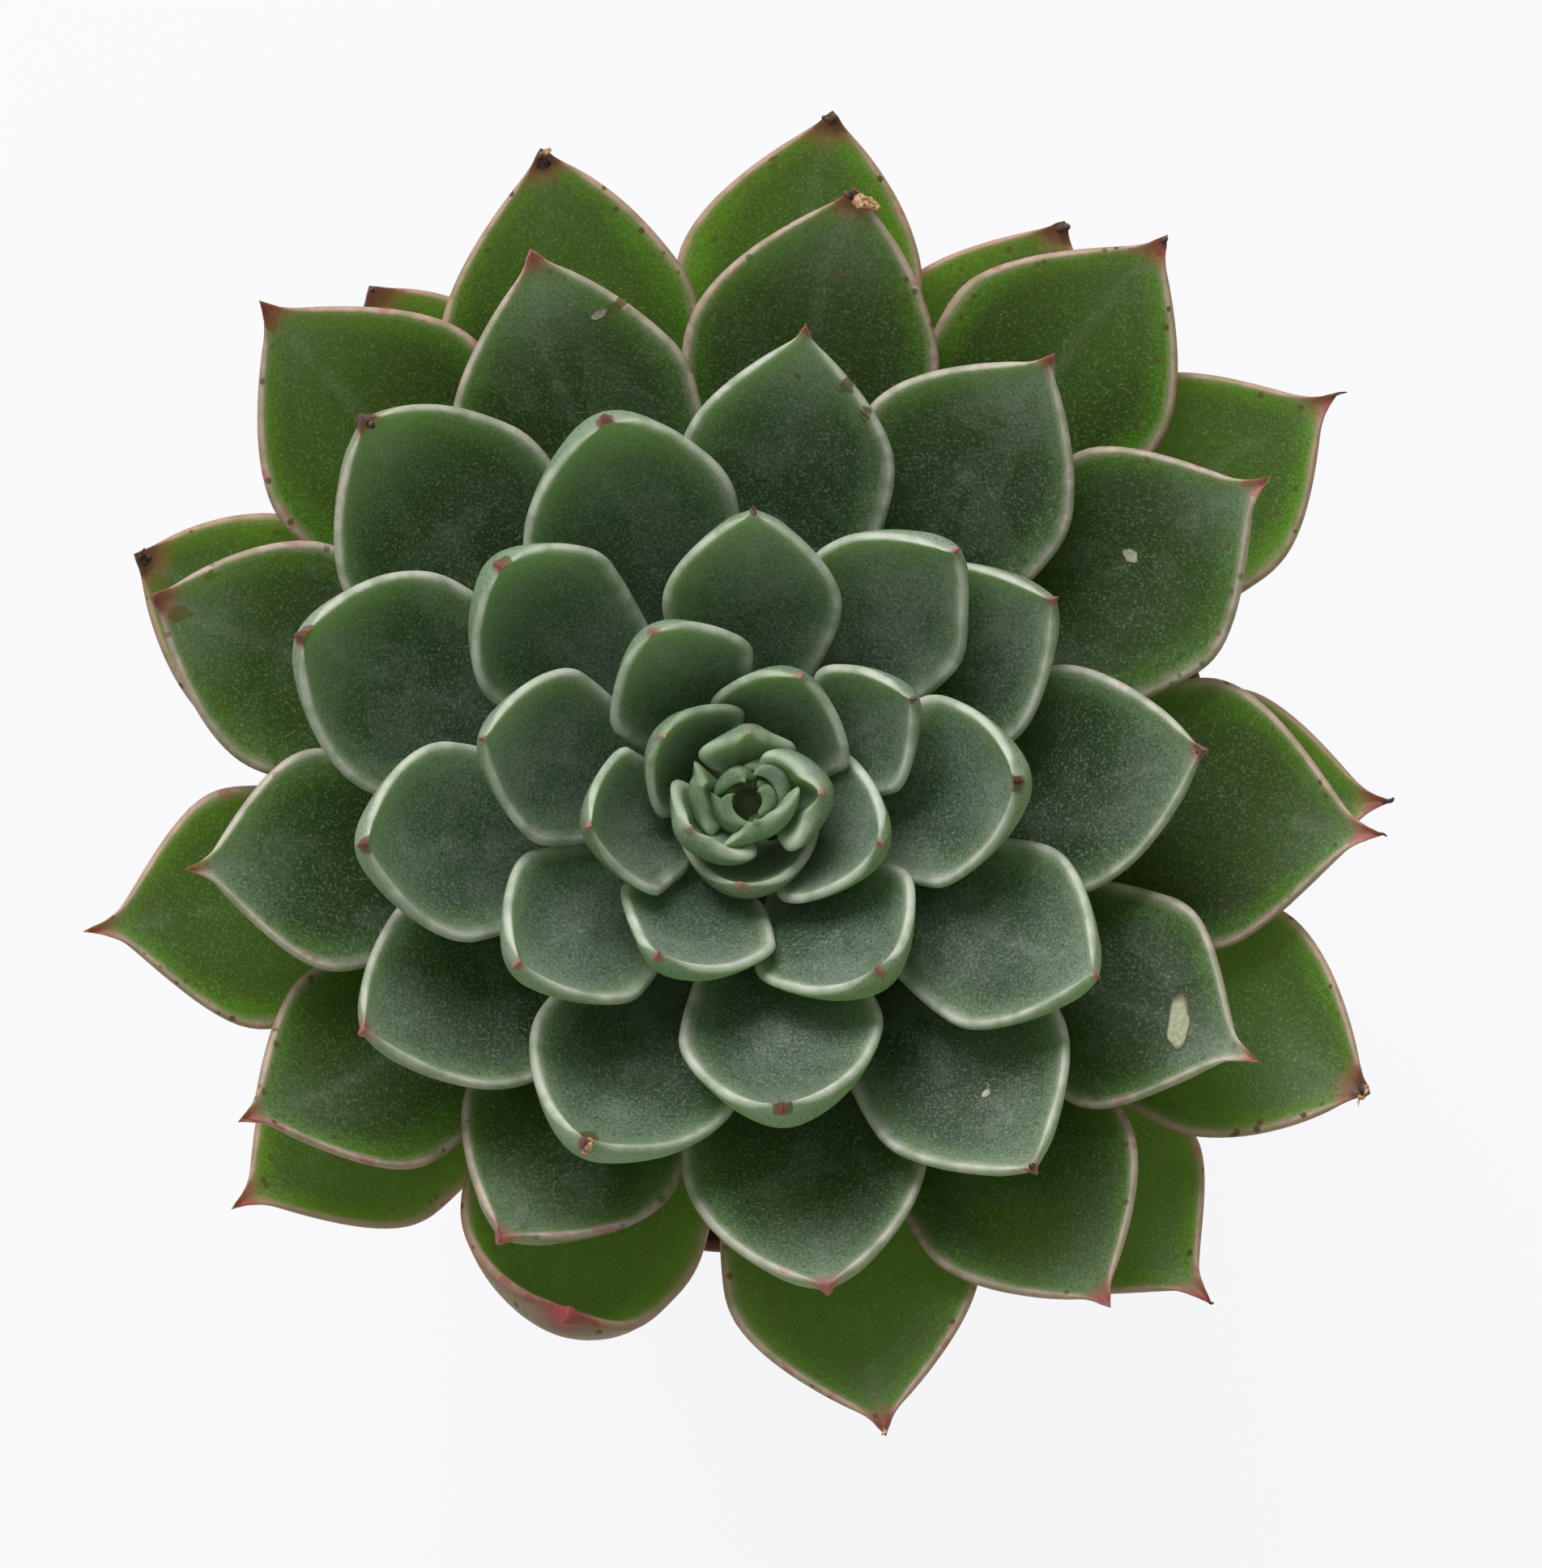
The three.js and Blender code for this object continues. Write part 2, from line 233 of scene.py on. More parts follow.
# How dry the point is: 0 is a fresh pink one and 1 is a dead grey-brown one
dryTips = {
    59: 0.9, 57: 0.8, 56: 0.3, 54: 0.9, 53: 0.1, 52: 1.0, 51: 0.2, 49: 1.0, 48: 0.8, 46: 0.3, 45: 0.5,
    44: 0.4, 43: 0.1, 41: 0.8, 39: 0.6, 33: 0.25, 31: 0.9, 30: 0.4, 27: 0.4, 26: 0.8, 24: 0.6, 23: 0.7,
    21: 0.6, 19: 0.4, 18: 0.35, 17: 0.8, 15: 0.7, 12: 0.6,
}

# Width of each half, anticlockwise and clockwise, where the two differ
lopsided = {38: (1.0, 1.12), 43: (1.13, 1.0), 5: (1.0, 1.18), 6: (1.45, 1.4), 7: (1.0, 1.2)}


def stemRadiusAt(z):
    climb = min(max(z, 0) / crown["stemTop"], 1)
    return crown["stemRadius"] - (crown["stemRadius"] - crown["stemTopRadius"]) * climb ** 1.3


# [radius, height, slope] up the middle of the upper face
def midLine(leaf):
    steps = 60
    r, z = leaf["footRadius"], leaf["footHeight"]
    line = []
    for i in range(steps + 1):
        s = i / steps
        curled = smooth((s - leafForm["curlFrom"]) / (1 - leafForm["curlFrom"]))
        slope = mix(leaf["footSlope"], leaf["tipSlope"], s ** 1.2) + leaf["curl"] * leafForm["curl"] * curled
        line.append((r, z, slope))
        r += math.cos(slope) * leaf["length"] / steps
        z += math.sin(slope) * leaf["length"] / steps
    return line


def alongLine(line, s):
    at = min(max(s, 0), 1) * (len(line) - 1)
    i = min(int(at), len(line) - 2)
    return [mix(a, b, at - i) for a, b in zip(line[i], line[i + 1])]


# Half-width as a share of the widest, with crisp corners on young leaves, and how far the tip has opened
def outline(leaf, s):
    cornered = leaf["square"]
    tipSpan = mix(leafForm["tipSpan"], leafForm["squareSpan"], cornered) * leaf["halfWidth"]
    opened = min(max((1 - s) * leaf["length"] - leaf["spine"], 0) / (tipSpan - leaf["spine"]), 1)
    arch = mix(math.sin(math.pi / 2 * opened ** leaf["pointed"]), opened ** 0.8, cornered)
    closed = min(max(s, 0) / (1 - tipSpan / leaf["length"]), 1)
    taper = mix(smooth(closed), closed ** 0.8, cornered)
    return arch * mix(leafForm["footShare"], 1, taper), arch


# Half-width and thickness in mm, at a share s of the length
def crossSection(leaf, s):
    fromTip = (1 - s) * leaf["length"]
    worn = min(leafForm["cornerWear"] * leaf["halfWidth"] / 10, fromTip * 0.6) / leaf["length"]
    share = sum(outline(leaf, s + worn * step)[0] for step in (-1, -0.5, 0, 0.5, 1)) / 5
    arch = outline(leaf, s)[1]
    foot = min(leaf["footRadius"] * leafForm["footSpread"] / leaf["halfWidth"], share)
    share = mix(foot, share, smooth(s / 0.35))
    point = leaf["spineWidth"] * min(fromTip / leaf["spine"], 1) ** 0.8
    halfWidth = math.hypot(share * leaf["halfWidth"], point)
    swell = 0.42 + 0.58 * smooth(s / 0.6)
    body = leaf["thickness"] * swell * math.sqrt(max(1 - s ** leaf["blunt"], 0)) * min(arch / 0.4, 1) ** 0.5
    return halfWidth, max(body, 1.5 * point)


# A point on the leaf's skin. s runs along the leaf and turn round its section, the upper face from 0 to pi.
def leafPoint(leaf, s, turn, lift=0.0):
    r, z, slope = alongLine(leaf["line"], s)
    halfWidth, thick = crossSection(leaf, s)
    share = math.cos(turn)
    inner = (1 - abs(share)) * halfWidth
    raised = leaf["cup"] * share * share * smooth((s - 0.45) / 0.3)
    shoulder = max(min(leafForm["edgeRound"], thick * 0.4, halfWidth * 0.5), 0.01)
    fallen = 1 - min(inner / shoulder, 1)
    raised -= shoulder * (1 - math.sqrt(1 - fallen * fallen))
    grain = Vector((share * halfWidth / 9, s * leaf["length"] / 12, leaf["seed"]))
    raised += leafForm["ripple"] * noise.noise(grain) * min(inner / 2, 1)
    depth = -raised - lift
    if math.sin(turn) < 0:
        depth = thick * abs(math.sin(turn)) ** leaf["belly"] - raised + lift
    sway = leaf["sway"] * smooth(s / 0.5) * (1 - smooth((s - 0.78) / 0.22))
    wide, pull, drop, keel = leaf["sides"][0 if share > 0 else 1]  # keel: how far the tip stands out
    angle = leaf["azimuth"] + sway + share * halfWidth * wide / r
    spread = (share * halfWidth / leaf["halfWidth"]) ** 2
    out = r + depth * math.sin(slope) + pull * spread
    hollow = keel * smooth(abs(share) * halfWidth / leafForm["keelWidth"]) * smooth(s / 0.4)
    out -= hollow * (1 + min(math.sin(turn), 0))
    height = z - depth * math.cos(slope) - drop * spread
    return Vector((out * math.cos(angle), out * math.sin(angle), height))


# Turns a leaf, and stretches it or lays it down, until its tip comes to its place as seen from above
def grown(leaf, azimuth, reach):
    aim = math.radians(azimuth)
    leaf["azimuth"] = aim
    for i in range(30):
        leaf["line"] = midLine(leaf)
        tip = crownToRow @ leafPoint(leaf, 1, 0) / mm
        error = math.atan2(tip.y, tip.x) - aim
        leaf["azimuth"] -= math.atan2(math.sin(error), math.cos(error))
        short = reach - math.hypot(tip.x, tip.y)
        if leaf["folded"]:
            leaf["footSlope"] = max(leaf["footSlope"] - short / leaf["length"], -0.5)
        else:
            leaf["length"] += short * 0.8
    return leaf


def plannedLeaf(order, azimuth, reach, width, curl, sway):
    footHeight = (crown["stemTop"] - 2) * (1 - order / crown["oldest"])
    leaf = {
        "order": order,
        "folded": False,
        "length": reach,
        "seed": order * 3.7,
        "halfWidth": width / 2,
        "curl": curl,
        "sway": math.radians(sway),
        "pointed": pointed.get(order, 0.86),
        "square": square.get(order, 1 - 0.75 * smooth((order - 5) / 20)),
        "sides": [(wide, 0, 0, 0) for wide in lopsided.get(order, (1, 1))],
        "spine": spines.get(order, leafForm["spine"]),
        "spineWidth": mix(leafForm["spineWidth"], leafForm["oldSpineWidth"], smooth((order - 24) / 12)),
        "blunt": 7,
        "belly": 0.85,
        "dry": dryTips.get(order, 0),
        "footHeight": footHeight,
        "footRadius": stemRadiusAt(footHeight) + crown["gap"],
        "footSlope": math.radians(1 + 51 * math.exp(-order / 24)),
        "tipSlope": math.radians(8 + 88 * math.exp(-order / 32)),
        "thickness": leafForm["thickness"] * (0.4 + 0.6 * smooth(order / 24)),
        "cup": leafForm["cup"] * smooth(order / 20),
    }
    return grown(leaf, azimuth, reach)


# One of the youngest leaves. Each end of its crest has its own [degrees round from the tip, radius, depth
# below the tip, how far the tip stands out past it].
def foldedLeaf(order, azimuth, reach, width, length, footRadius, tipSlope, sway, ends):
    leaf = {
        "order": order,
        "folded": True,
        "length": length,
        "seed": order * 5.3,
        "halfWidth": width / 2,
        "curl": 0,
        "sway": math.radians(sway),
        "pointed": 0.8,
        "square": 1,
        "sides": [(1, 0, 0, 0), (1, 0, 0, 0)],
        "spine": 0.05 * length,
        "spineWidth": 0.04 * width,
        "blunt": 14,
        "belly": 0.85,
        "dry": 0,
        "footHeight": crown["stemTop"] - 1.5,
        "footRadius": footRadius,
        "footSlope": math.radians(30),
        "tipSlope": math.radians(tipSlope),
        "thickness": 1.1 + 0.07 * length,
        "cup": 0.1,
    }
    grown(leaf, azimuth, reach)
    corner = alongLine(leaf["line"], 1 - leafForm["squareSpan"] * leaf["halfWidth"] / length)
    tipHeight = leaf["line"][-1][1]
    leaf["sides"] = [(math.radians(turned) * corner[0] / leaf["halfWidth"], radius + keel - corner[0],
                      depth - (tipHeight - corner[1]), keel)
                     for turned, radius, depth, keel in ends]
    return leaf


skinLayers = ("margin", "tip", "across", "age", "dry", "stain")


# A sphere drawn out into a leaf: its lower pole is the foot and its upper pole the tip
def leafMesh(leaf, marks=()):
    bm = bmesh.new()
    bmesh.ops.create_uvsphere(bm, u_segments=leafForm["segments"], v_segments=leafForm["rings"], radius=1)
    layers = {name: bm.verts.layers.float.new(name) for name in skinLayers}
    for vert in bm.verts:
        up = 1 - math.acos(min(max(vert.co.z, -1), 1)) / math.pi
        s = 1 - (1 - up) ** leafForm["tipCrowding"]
        turn = math.atan2(vert.co.y, vert.co.x)
        halfWidth, thick = crossSection(leaf, s)
        inner = (1 - abs(math.cos(turn))) * halfWidth
        across = math.cos(turn) * halfWidth
        nearTip = (1 - s) * leaf["length"]
        margin = min(inner, nearTip * 0.8 + 0.3)
        if math.sin(turn) < 0:
            margin = -math.hypot(margin, thick * abs(math.sin(turn)) * 0.7)
        if up < 0.001:
            point = (leafPoint(leaf, 0, math.pi / 2) + leafPoint(leaf, 0, -math.pi / 2)) / 2
        else:
            point = leafPoint(leaf, s, turn)
        vert[layers["margin"]] = margin
        vert[layers["tip"]] = math.hypot(nearTip, across)
        vert[layers["across"]] = across
        vert[layers["age"]] = leaf["order"] / crown["oldest"]
        vert[layers["dry"]] = leaf["dry"]
        vert[layers["stain"]] = stainAt(marks, nearTip, across, margin)
        vert.co = crownToRow @ point
    return bm


# How deep in a brown mark a place is, 0 outside and 1 in its middle. Marks are on the upper face.
def stainAt(marks, nearTip, across, margin):
    if margin < -1:
        return 0.0
    deepest = 0.0
    for markTip, markAcross, length, width, angle in marks:
        a = math.radians(angle)
        dx, dy = across - markAcross, nearTip - markTip
        u = (dx * math.cos(a) + dy * math.sin(a)) / (width / 2)
        v = (dy * math.cos(a) - dx * math.sin(a)) / (length / 2)
        deepest = max(deepest, math.exp(-0.7 * (u * u + v * v)))
    return deepest


# Living echeveria leaf, dark wet flesh grown under dull wax. The eye gets a greyish bloom, a pale shoulder
# along each edge that is worn wax with a painted highlight on it, and a warmer green where a bright floor
# shines through thin old leaves. Painted light and shade join in: painted shade on the dark heart, painted
# light on the veil towards the tip and along the midrib fold, and painted glow on the bright flank of old
# leaves.
def waxyLeafSkin():
    look = {
        # by age, from the youngest leaf to the oldest
        # heart holds painted shade from the leaves above; flank on old leaves holds painted glow of light
        # through it
        "heart": [(0.0, "#1e3618"), (0.04, "#264022"), (0.1, "#344a34"), (0.2, "#3f5247"), (0.36, "#33413a"),
                  (0.5, "#212e24"), (0.68, "#152212"), (0.8, "#172b05"), (1.0, "#264404")],
        "flank": [(0.0, "#2c4a22"), (0.08, "#3c5c30"), (0.25, "#4f7144"), (0.5, "#456a34"),
                  (0.68, "#3f6c18"), (0.85, "#4c860a"), (1.0, "#5c9408")],
        "back": [(0.0, "#30502a"), (0.06, "#3e5e32"), (0.15, "#507440"), (0.4, "#7a9868"), (0.55, "#a3a78c"),
                 (0.68, "#bcab9c"), (1.0, "#a8907a")],
        # shoulder: worn wax with a painted highlight
        "shoulder": [(0.0, "#7a966a"), (0.06, "#c6d4b8"), (0.15, "#dfe3d6"), (0.5, "#e0ded6"),
                     (0.7, "#e2c6c0"), (1.0, "#d8aaa4")],
        "rod": [(0.0, "#8aa47a"), (0.2, "#adbf9f"), (0.5, "#a6b89c"), (0.75, "#86a060"), (1.0, "#8fac50")],
        "hazeCover": [(0.0, 0.02), (0.15, 0.14), (0.35, 0.15), (0.5, 0.05), (0.75, 0.0)],
        "freshTip": [(0.0, "#b07a70"), (0.3, "#b65f60"), (0.6, "#b04650"), (1.0, "#9c3440")],
        # across the edge, from 3 mm behind it to 6 mm in from it
        "crest": [(0.0, 0.0), (0.2, 0.05), (0.29, 0.3), (0.345, 0.95), (0.39, 0.85), (0.44, 0.3),
                  (0.53, 0.0)],
        "tail": [(0.33, 0.0), (0.42, 0.24), (0.55, 0.12), (0.8, 0.0)],
        "pinkLine": [(0.0, 0.1), (0.22, 0.5), (0.31, 1.0), (0.35, 0.5), (0.4, 0.12), (0.46, 0.0)],
        # the same at every age
        # tint of the bloom, and of the painted light on the tip veil and the midrib fold
        "hazeAndLightTint": "#9aa69c",
        "edgePink": "#ad525a",
        "glow": "#bfe58a",
        "pinkGlow": "#f0a8a4",
        "dryTip": "#43342f",
        "spot": "#4e1e26",
        "stain": "#5d3329",
        "pore": "#bccabb",
        "pit": "#101a0e",
        # sizes and spacings in mm
        "poreSpacing": 0.65,
        "grain": 0.3,
        "fine": 1.1,
        "blot": 2.6,
        "spotSpacing": 2.3,
        "patch": 7,
        "tideMark": 8,
        # roughness, where the wax is worn and where it is thick
        "gloss": (0.42, 0.58),
    }
    material, tree = newMaterial("waxyLeafSkin")
    soft = {"interpolation_type": "SMOOTHSTEP"}
    colours = {"data_type": "RGBA", "output": 2}
    margin, tip, across, age, dry, stain = [
        addNode(tree, "Attribute", output="Fac", attribute_name=layer) for layer in skinLayers]
    place = addNode(tree, "TexCoord", output="Object")
    broad = addNode(tree, "TexNoise", {"Vector": place, "Scale": 1 / (look["patch"] * mm), "Detail": 4.0})
    tide = addNode(tree, "TexNoise", {"Vector": place, "Scale": 1 / (look["tideMark"] * mm), "Detail": 1.5})
    blot = addNode(tree, "TexNoise", {"Vector": place, "Scale": 1 / (look["blot"] * mm), "Detail": 1.0})
    fine = addNode(tree, "TexNoise", {"Vector": place, "Scale": 1 / (look["fine"] * mm), "Detail": 3.0})
    grain = addNode(tree, "TexNoise", {"Vector": place, "Scale": 1 / (look["grain"] * mm), "Detail": 2.0})

    # Upper face: a dark dull heart, the flesh's own dark green with painted shade from the leaves above, and
    # a greener flank towards the edge, on old leaves brightened by painted glow of light through the thin
    # edge
    heart = addNode(tree, "ValToRGB", {0: age}, stops=look["heart"])
    flank = addNode(tree, "ValToRGB", {0: age}, stops=look["flank"])
    back = addNode(tree, "ValToRGB", {0: age}, stops=look["back"])
    wander = addNode(tree, "Math", {0: broad, 1: 4.0, 2: -2.0}, operation="MULTIPLY_ADD")
    inward = addNode(tree, "Math", {0: margin, 1: wander}, operation="ADD")
    # The heart's darkness is partly painted shade under the leaves above
    heartCover = addNode(tree, "MapRange", {0: inward, 1: 0.4, 2: 5.6}, **soft)
    face = addNode(tree, "Mix", {0: heartCover, 6: flank, 7: heart}, **colours)
    backCover = addNode(tree, "MapRange", {0: margin, 1: -0.3, 2: -1.6}, **soft)
    skin = addNode(tree, "Mix", {0: backCover, 6: face, 7: back}, **colours)

    # Wax bloom in soft patches and crisp-edged traces of dried drops; a veil towards the tip that is bloom
    # with painted light on it where the tip turns up; and a faint painted highlight along the midrib fold
    hazeCover = addNode(tree, "ValToRGB", {0: age}, stops=look["hazeCover"])
    hazePatch = addNode(tree, "MapRange", {0: broad, 1: 0.35, 2: 0.7, 3: 0.6, 4: 1.9}, **soft)
    patches = addNode(tree, "Math", {0: hazePatch, 1: hazeCover}, operation="MULTIPLY")
    fromMidrib = addNode(tree, "Math", {0: across}, operation="ABSOLUTE")
    # Painted highlight along the midrib, where the face folds
    midribFoldHighlight = addNode(tree, "MapRange", {0: fromMidrib, 1: 1.3, 2: 0.1, 3: 0.0, 4: 0.12}, **soft)
    foldHighlightPatch = addNode(tree, "MapRange", {0: broad, 1: 0.4, 2: 0.6}, **soft)
    tideLine = addNode(tree, "MapRange", {0: tide, 1: 0.56, 2: 0.575, 3: 0.0, 4: 0.09}, **soft)
    tideAge = addNode(tree, "MapRange", {0: age, 1: 0.75, 2: 0.6}, **soft)
    # Painted light towards the tip, mixed with its wax veil
    tipVeilAndLight = addNode(tree, "MapRange", {0: tip, 1: 16.0, 2: 3.0, 3: 0.0, 4: 0.44}, **soft)
    veilAndLightAge = addNode(tree, "MapRange", {0: age, 1: 0.85, 2: 0.55, 3: 0.1, 4: 1.0}, **soft)
    veiledAndLit = addNode(tree, "Math", {0: tipVeilAndLight, 1: veilAndLightAge, 2: patches}, operation="MULTIPLY_ADD")
    foldLitAndVeiled = addNode(tree, "Math", {0: midribFoldHighlight, 1: foldHighlightPatch, 2: veiledAndLit}, operation="MULTIPLY_ADD")
    waxAndLightCover = addNode(tree, "Math", {0: tideLine, 1: tideAge, 2: foldLitAndVeiled}, operation="MULTIPLY_ADD")
    hazedAndLit = addNode(tree, "Mix", {0: waxAndLightCover, 6: skin, 7: look["hazeAndLightTint"]}, **colours)

    # Dark pits and pale wax rods, drawn coarser than real ones so that they show, and white pores
    pitCover = addNode(tree, "MapRange", {0: grain, 1: 0.5, 2: 0.3, 3: 0.0, 4: 0.55}, **soft)
    pitted = addNode(tree, "Mix", {0: pitCover, 6: hazedAndLit, 7: look["pit"]}, **colours)
    rod = addNode(tree, "ValToRGB", {0: age}, stops=look["rod"])
    rodCover = addNode(tree, "MapRange", {0: grain, 1: 0.52, 2: 0.7, 3: 0.0, 4: 0.42}, **soft)
    grained = addNode(tree, "Mix", {0: rodCover, 6: pitted, 7: rod}, **colours)
    pores = addNode(tree, "TexVoronoi", {"Vector": place, "Scale": 1 / (look["poreSpacing"] * mm)})
    poreDot = addNode(tree, "MapRange", {0: pores, 1: 0.18, 2: 0.07, 3: 0.0, 4: 0.42}, **soft)
    porePatch = addNode(tree, "MapRange", {0: fine, 1: 0.46, 2: 0.6}, **soft)
    poreCover = addNode(tree, "Math", {0: poreDot, 1: porePatch}, operation="MULTIPLY")
    pored = addNode(tree, "Mix", {0: poreCover, 6: grained, 7: look["pore"]}, **colours)

    # Pale shoulder on the edge, worn wax with a painted highlight on it, and a soft tail inwards on younger
    # leaves
    shoulder = addNode(tree, "ValToRGB", {0: age}, stops=look["shoulder"])
    edgeWay = addNode(tree, "MapRange", {0: margin, 1: -3.0, 2: 6.0})
    crest = addNode(tree, "ValToRGB", {0: edgeWay}, stops=look["crest"])
    tail = addNode(tree, "ValToRGB", {0: edgeWay}, stops=look["tail"])
    tailAge = addNode(tree, "MapRange", {0: age, 1: 0.7, 2: 0.4}, **soft)
    # Patches where the edge's worn wax and painted highlight show
    rubAndHighlightPatches = addNode(tree, "MapRange", {0: blot, 1: 0.3, 2: 0.65, 3: 0.55, 4: 1.0}, **soft)
    crestCover = addNode(tree, "Math", {0: tail, 1: tailAge, 2: crest}, operation="MULTIPLY_ADD")
    # Cover of the pale edge: worn wax with a painted highlight
    worn = addNode(tree, "Math", {0: crestCover, 1: rubAndHighlightPatches}, operation="MULTIPLY", use_clamp=True)
    crested = addNode(tree, "Mix", {0: worn, 6: pored, 7: shoulder}, **colours)

    # Pink line on the edge of old leaves, and reddish dabs along it
    pinkLine = addNode(tree, "ValToRGB", {0: edgeWay}, stops=look["pinkLine"])
    pinkAge = addNode(tree, "MapRange", {0: age, 1: 0.4, 2: 0.85, 3: 0.0, 4: 0.65}, **soft)
    dab = addNode(tree, "MapRange", {0: blot, 1: 0.61, 2: 0.7}, **soft)
    dabEdge = addNode(tree, "MapRange", {0: margin, 1: 1.8, 2: 0.6}, **soft)
    dabAge = addNode(tree, "MapRange", {0: age, 1: 0.3, 2: 0.7, 3: 0.0, 4: 0.4}, **soft)
    dabShape = addNode(tree, "Math", {0: dab, 1: dabEdge}, operation="MULTIPLY")
    lineCover = addNode(tree, "Math", {0: pinkLine, 1: pinkAge}, operation="MULTIPLY")
    edgeCover = addNode(tree, "Math", {0: dabShape, 1: dabAge, 2: lineCover},
                        operation="MULTIPLY_ADD", use_clamp=True)
    edged = addNode(tree, "Mix", {0: edgeCover, 6: crested, 7: look["edgePink"]}, **colours)

    # Purple-brown dots on older leaves, most of them near the edge
    spots = addNode(tree, "TexVoronoi", {"Vector": place, "Scale": 1 / (look["spotSpacing"] * mm)})
    spotDot = addNode(tree, "MapRange", {0: spots, 1: 0.21, 2: 0.13}, **soft)
    spotAge = addNode(tree, "MapRange", {0: age, 1: 0.4, 2: 0.85}, **soft)
    spotEdge = addNode(tree, "MapRange", {0: margin, 1: 7.0, 2: 1.0, 3: 0.4, 4: 1.0}, **soft)
    spotPlace = addNode(tree, "Math", {0: spotAge, 1: spotEdge}, operation="MULTIPLY")
    spotCover = addNode(tree, "Math", {0: spotDot, 1: spotPlace}, operation="MULTIPLY")
    spotted = addNode(tree, "Mix", {0: spotCover, 6: edged, 7: look["spot"]}, **colours)

    # Brown marks with ragged edges
    ragged = addNode(tree, "Math", {0: fine, 1: 0.9, 2: -0.45}, operation="MULTIPLY_ADD")
    stainWay = addNode(tree, "Math", {0: stain, 1: ragged}, operation="ADD")
    stainCover = addNode(tree, "MapRange", {0: stainWay, 1: 0.38, 2: 0.55, 3: 0.0, 4: 0.85}, **soft)
    stained = addNode(tree, "Mix", {0: stainCover, 6: spotted, 7: look["stain"]}, **colours)

    # Tip: pink, further down on older leaves, then brown on the dry ones
    freshTip = addNode(tree, "ValToRGB", {0: age}, stops=look["freshTip"])
    tipReach = addNode(tree, "MapRange", {0: age, 1: 0.25, 2: 0.85, 3: 0.5, 4: 1.8}, **soft)
    tipRagged = addNode(tree, "Math", {0: fine, 1: 1.6, 2: -0.8}, operation="MULTIPLY_ADD")
    tipEdge = addNode(tree, "Math", {0: tip, 1: tipRagged}, operation="ADD")
    tipWay = addNode(tree, "Math", {0: tipEdge, 1: tipReach}, operation="DIVIDE")
    pinkShape = addNode(tree, "MapRange", {0: tipWay, 1: 3.0, 2: 0.6, 3: 0.0, 4: 0.8}, **soft)
    pinkStart = addNode(tree, "MapRange", {0: age, 1: 0.02, 2: 0.12}, **soft)
    pinkCover = addNode(tree, "Math", {0: pinkShape, 1: pinkStart}, operation="MULTIPLY")
    pinked = addNode(tree, "Mix", {0: pinkCover, 6: stained, 7: freshTip}, **colours)
    dryShape = addNode(tree, "MapRange", {0: tipWay, 1: 1.9, 2: 1.1}, **soft)
    dryCover = addNode(tree, "Math", {0: dryShape, 1: dry}, operation="MULTIPLY")
    tipped = addNode(tree, "Mix", {0: dryCover, 6: pinked, 7: look["dryTip"]}, **colours)

    # Gloss under worn wax, and a skin rippled by its grain
    smoothest, dullest = look["gloss"]
    gloss = addNode(tree, "MapRange", {0: broad, 1: 0.3, 2: 0.7, 3: smoothest, 4: dullest}, **soft)
    rippled = addNode(tree, "Bump", {"Height": grain, "Strength": 0.35, "Distance": 0.1 * mm})
    waved = addNode(tree, "Bump",
                    {"Height": fine, "Strength": 0.3, "Distance": 0.15 * mm, "Normal": rippled})
    flesh = addNode(tree, "BsdfPrincipled", {
        "Base Color": tipped,
        "Roughness": gloss,
        "Normal": waved,
        "IOR": 1.42,
        "Subsurface Weight": 0.3,
        "Subsurface Radius": (0.35, 1.0, 0.15),
        "Subsurface Scale": 1.5 * mm,
    })

    # Light comes through the thin flesh green, and through its tips and edges pink
    redness = addNode(tree, "Math", {0: pinkCover, 1: edgeCover}, operation="MAXIMUM")
    throughTint = addNode(tree, "Mix", {0: redness, 6: look["glow"], 7: look["pinkGlow"]}, **colours)
    through = addNode(tree, "BsdfTranslucent", {"Color": throughTint})
    whole = addNode(tree, "MixShader", {0: 0.35, 1: flesh, 2: through})
    addNode(tree, "OutputMaterial", {"Surface": whole})
    return material


# Leaf tip that has dried to a dark brown, wrinkled, matt horn
def witheredSkin():
    look = {"dark": "#241a17", "light": "#6b5244", "wrinkle": 0.5}
    material, tree = newMaterial("witheredSkin")
    place = addNode(tree, "TexCoord", output="Object")
    wrinkles = addNode(tree, "TexNoise",
                       {"Vector": place, "Scale": 1 / (look["wrinkle"] * mm), "Detail": 3.0})
    tone = addNode(tree, "ValToRGB", {"Fac": wrinkles}, stops=[(0.3, look["dark"]), (0.75, look["light"])])
    bump = addNode(tree, "Bump", {"Height": wrinkles, "Strength": 0.6, "Distance": 0.15 * mm})
    shader = addNode(tree, "BsdfPrincipled", {"Base Color": tone, "Roughness": 0.75, "Normal": bump})
    addNode(tree, "OutputMaterial", {"Surface": shader})
    return material


# Papery tissue of a tip that has dried to the colour of straw
def strawSkin():
    look = {"dark": "#7a4a24", "light": "#d8b685", "fibre": 0.4}
    material, tree = newMaterial("strawSkin")
    place = addNode(tree, "TexCoord", output="Object")
    fibres = addNode(tree, "TexNoise", {"Vector": place, "Scale": 1 / (look["fibre"] * mm), "Detail": 2.0})
    tone = addNode(tree, "ValToRGB", {"Fac": fibres}, stops=[(0.35, look["dark"]), (0.65, look["light"])])
    bump = addNode(tree, "Bump", {"Height": fibres, "Strength": 0.5, "Distance": 0.1 * mm})
    shader = addNode(tree, "BsdfPrincipled", {"Base Color": tone, "Roughness": 0.6, "Normal": bump})
    addNode(tree, "OutputMaterial", {"Surface": shader})
    return material


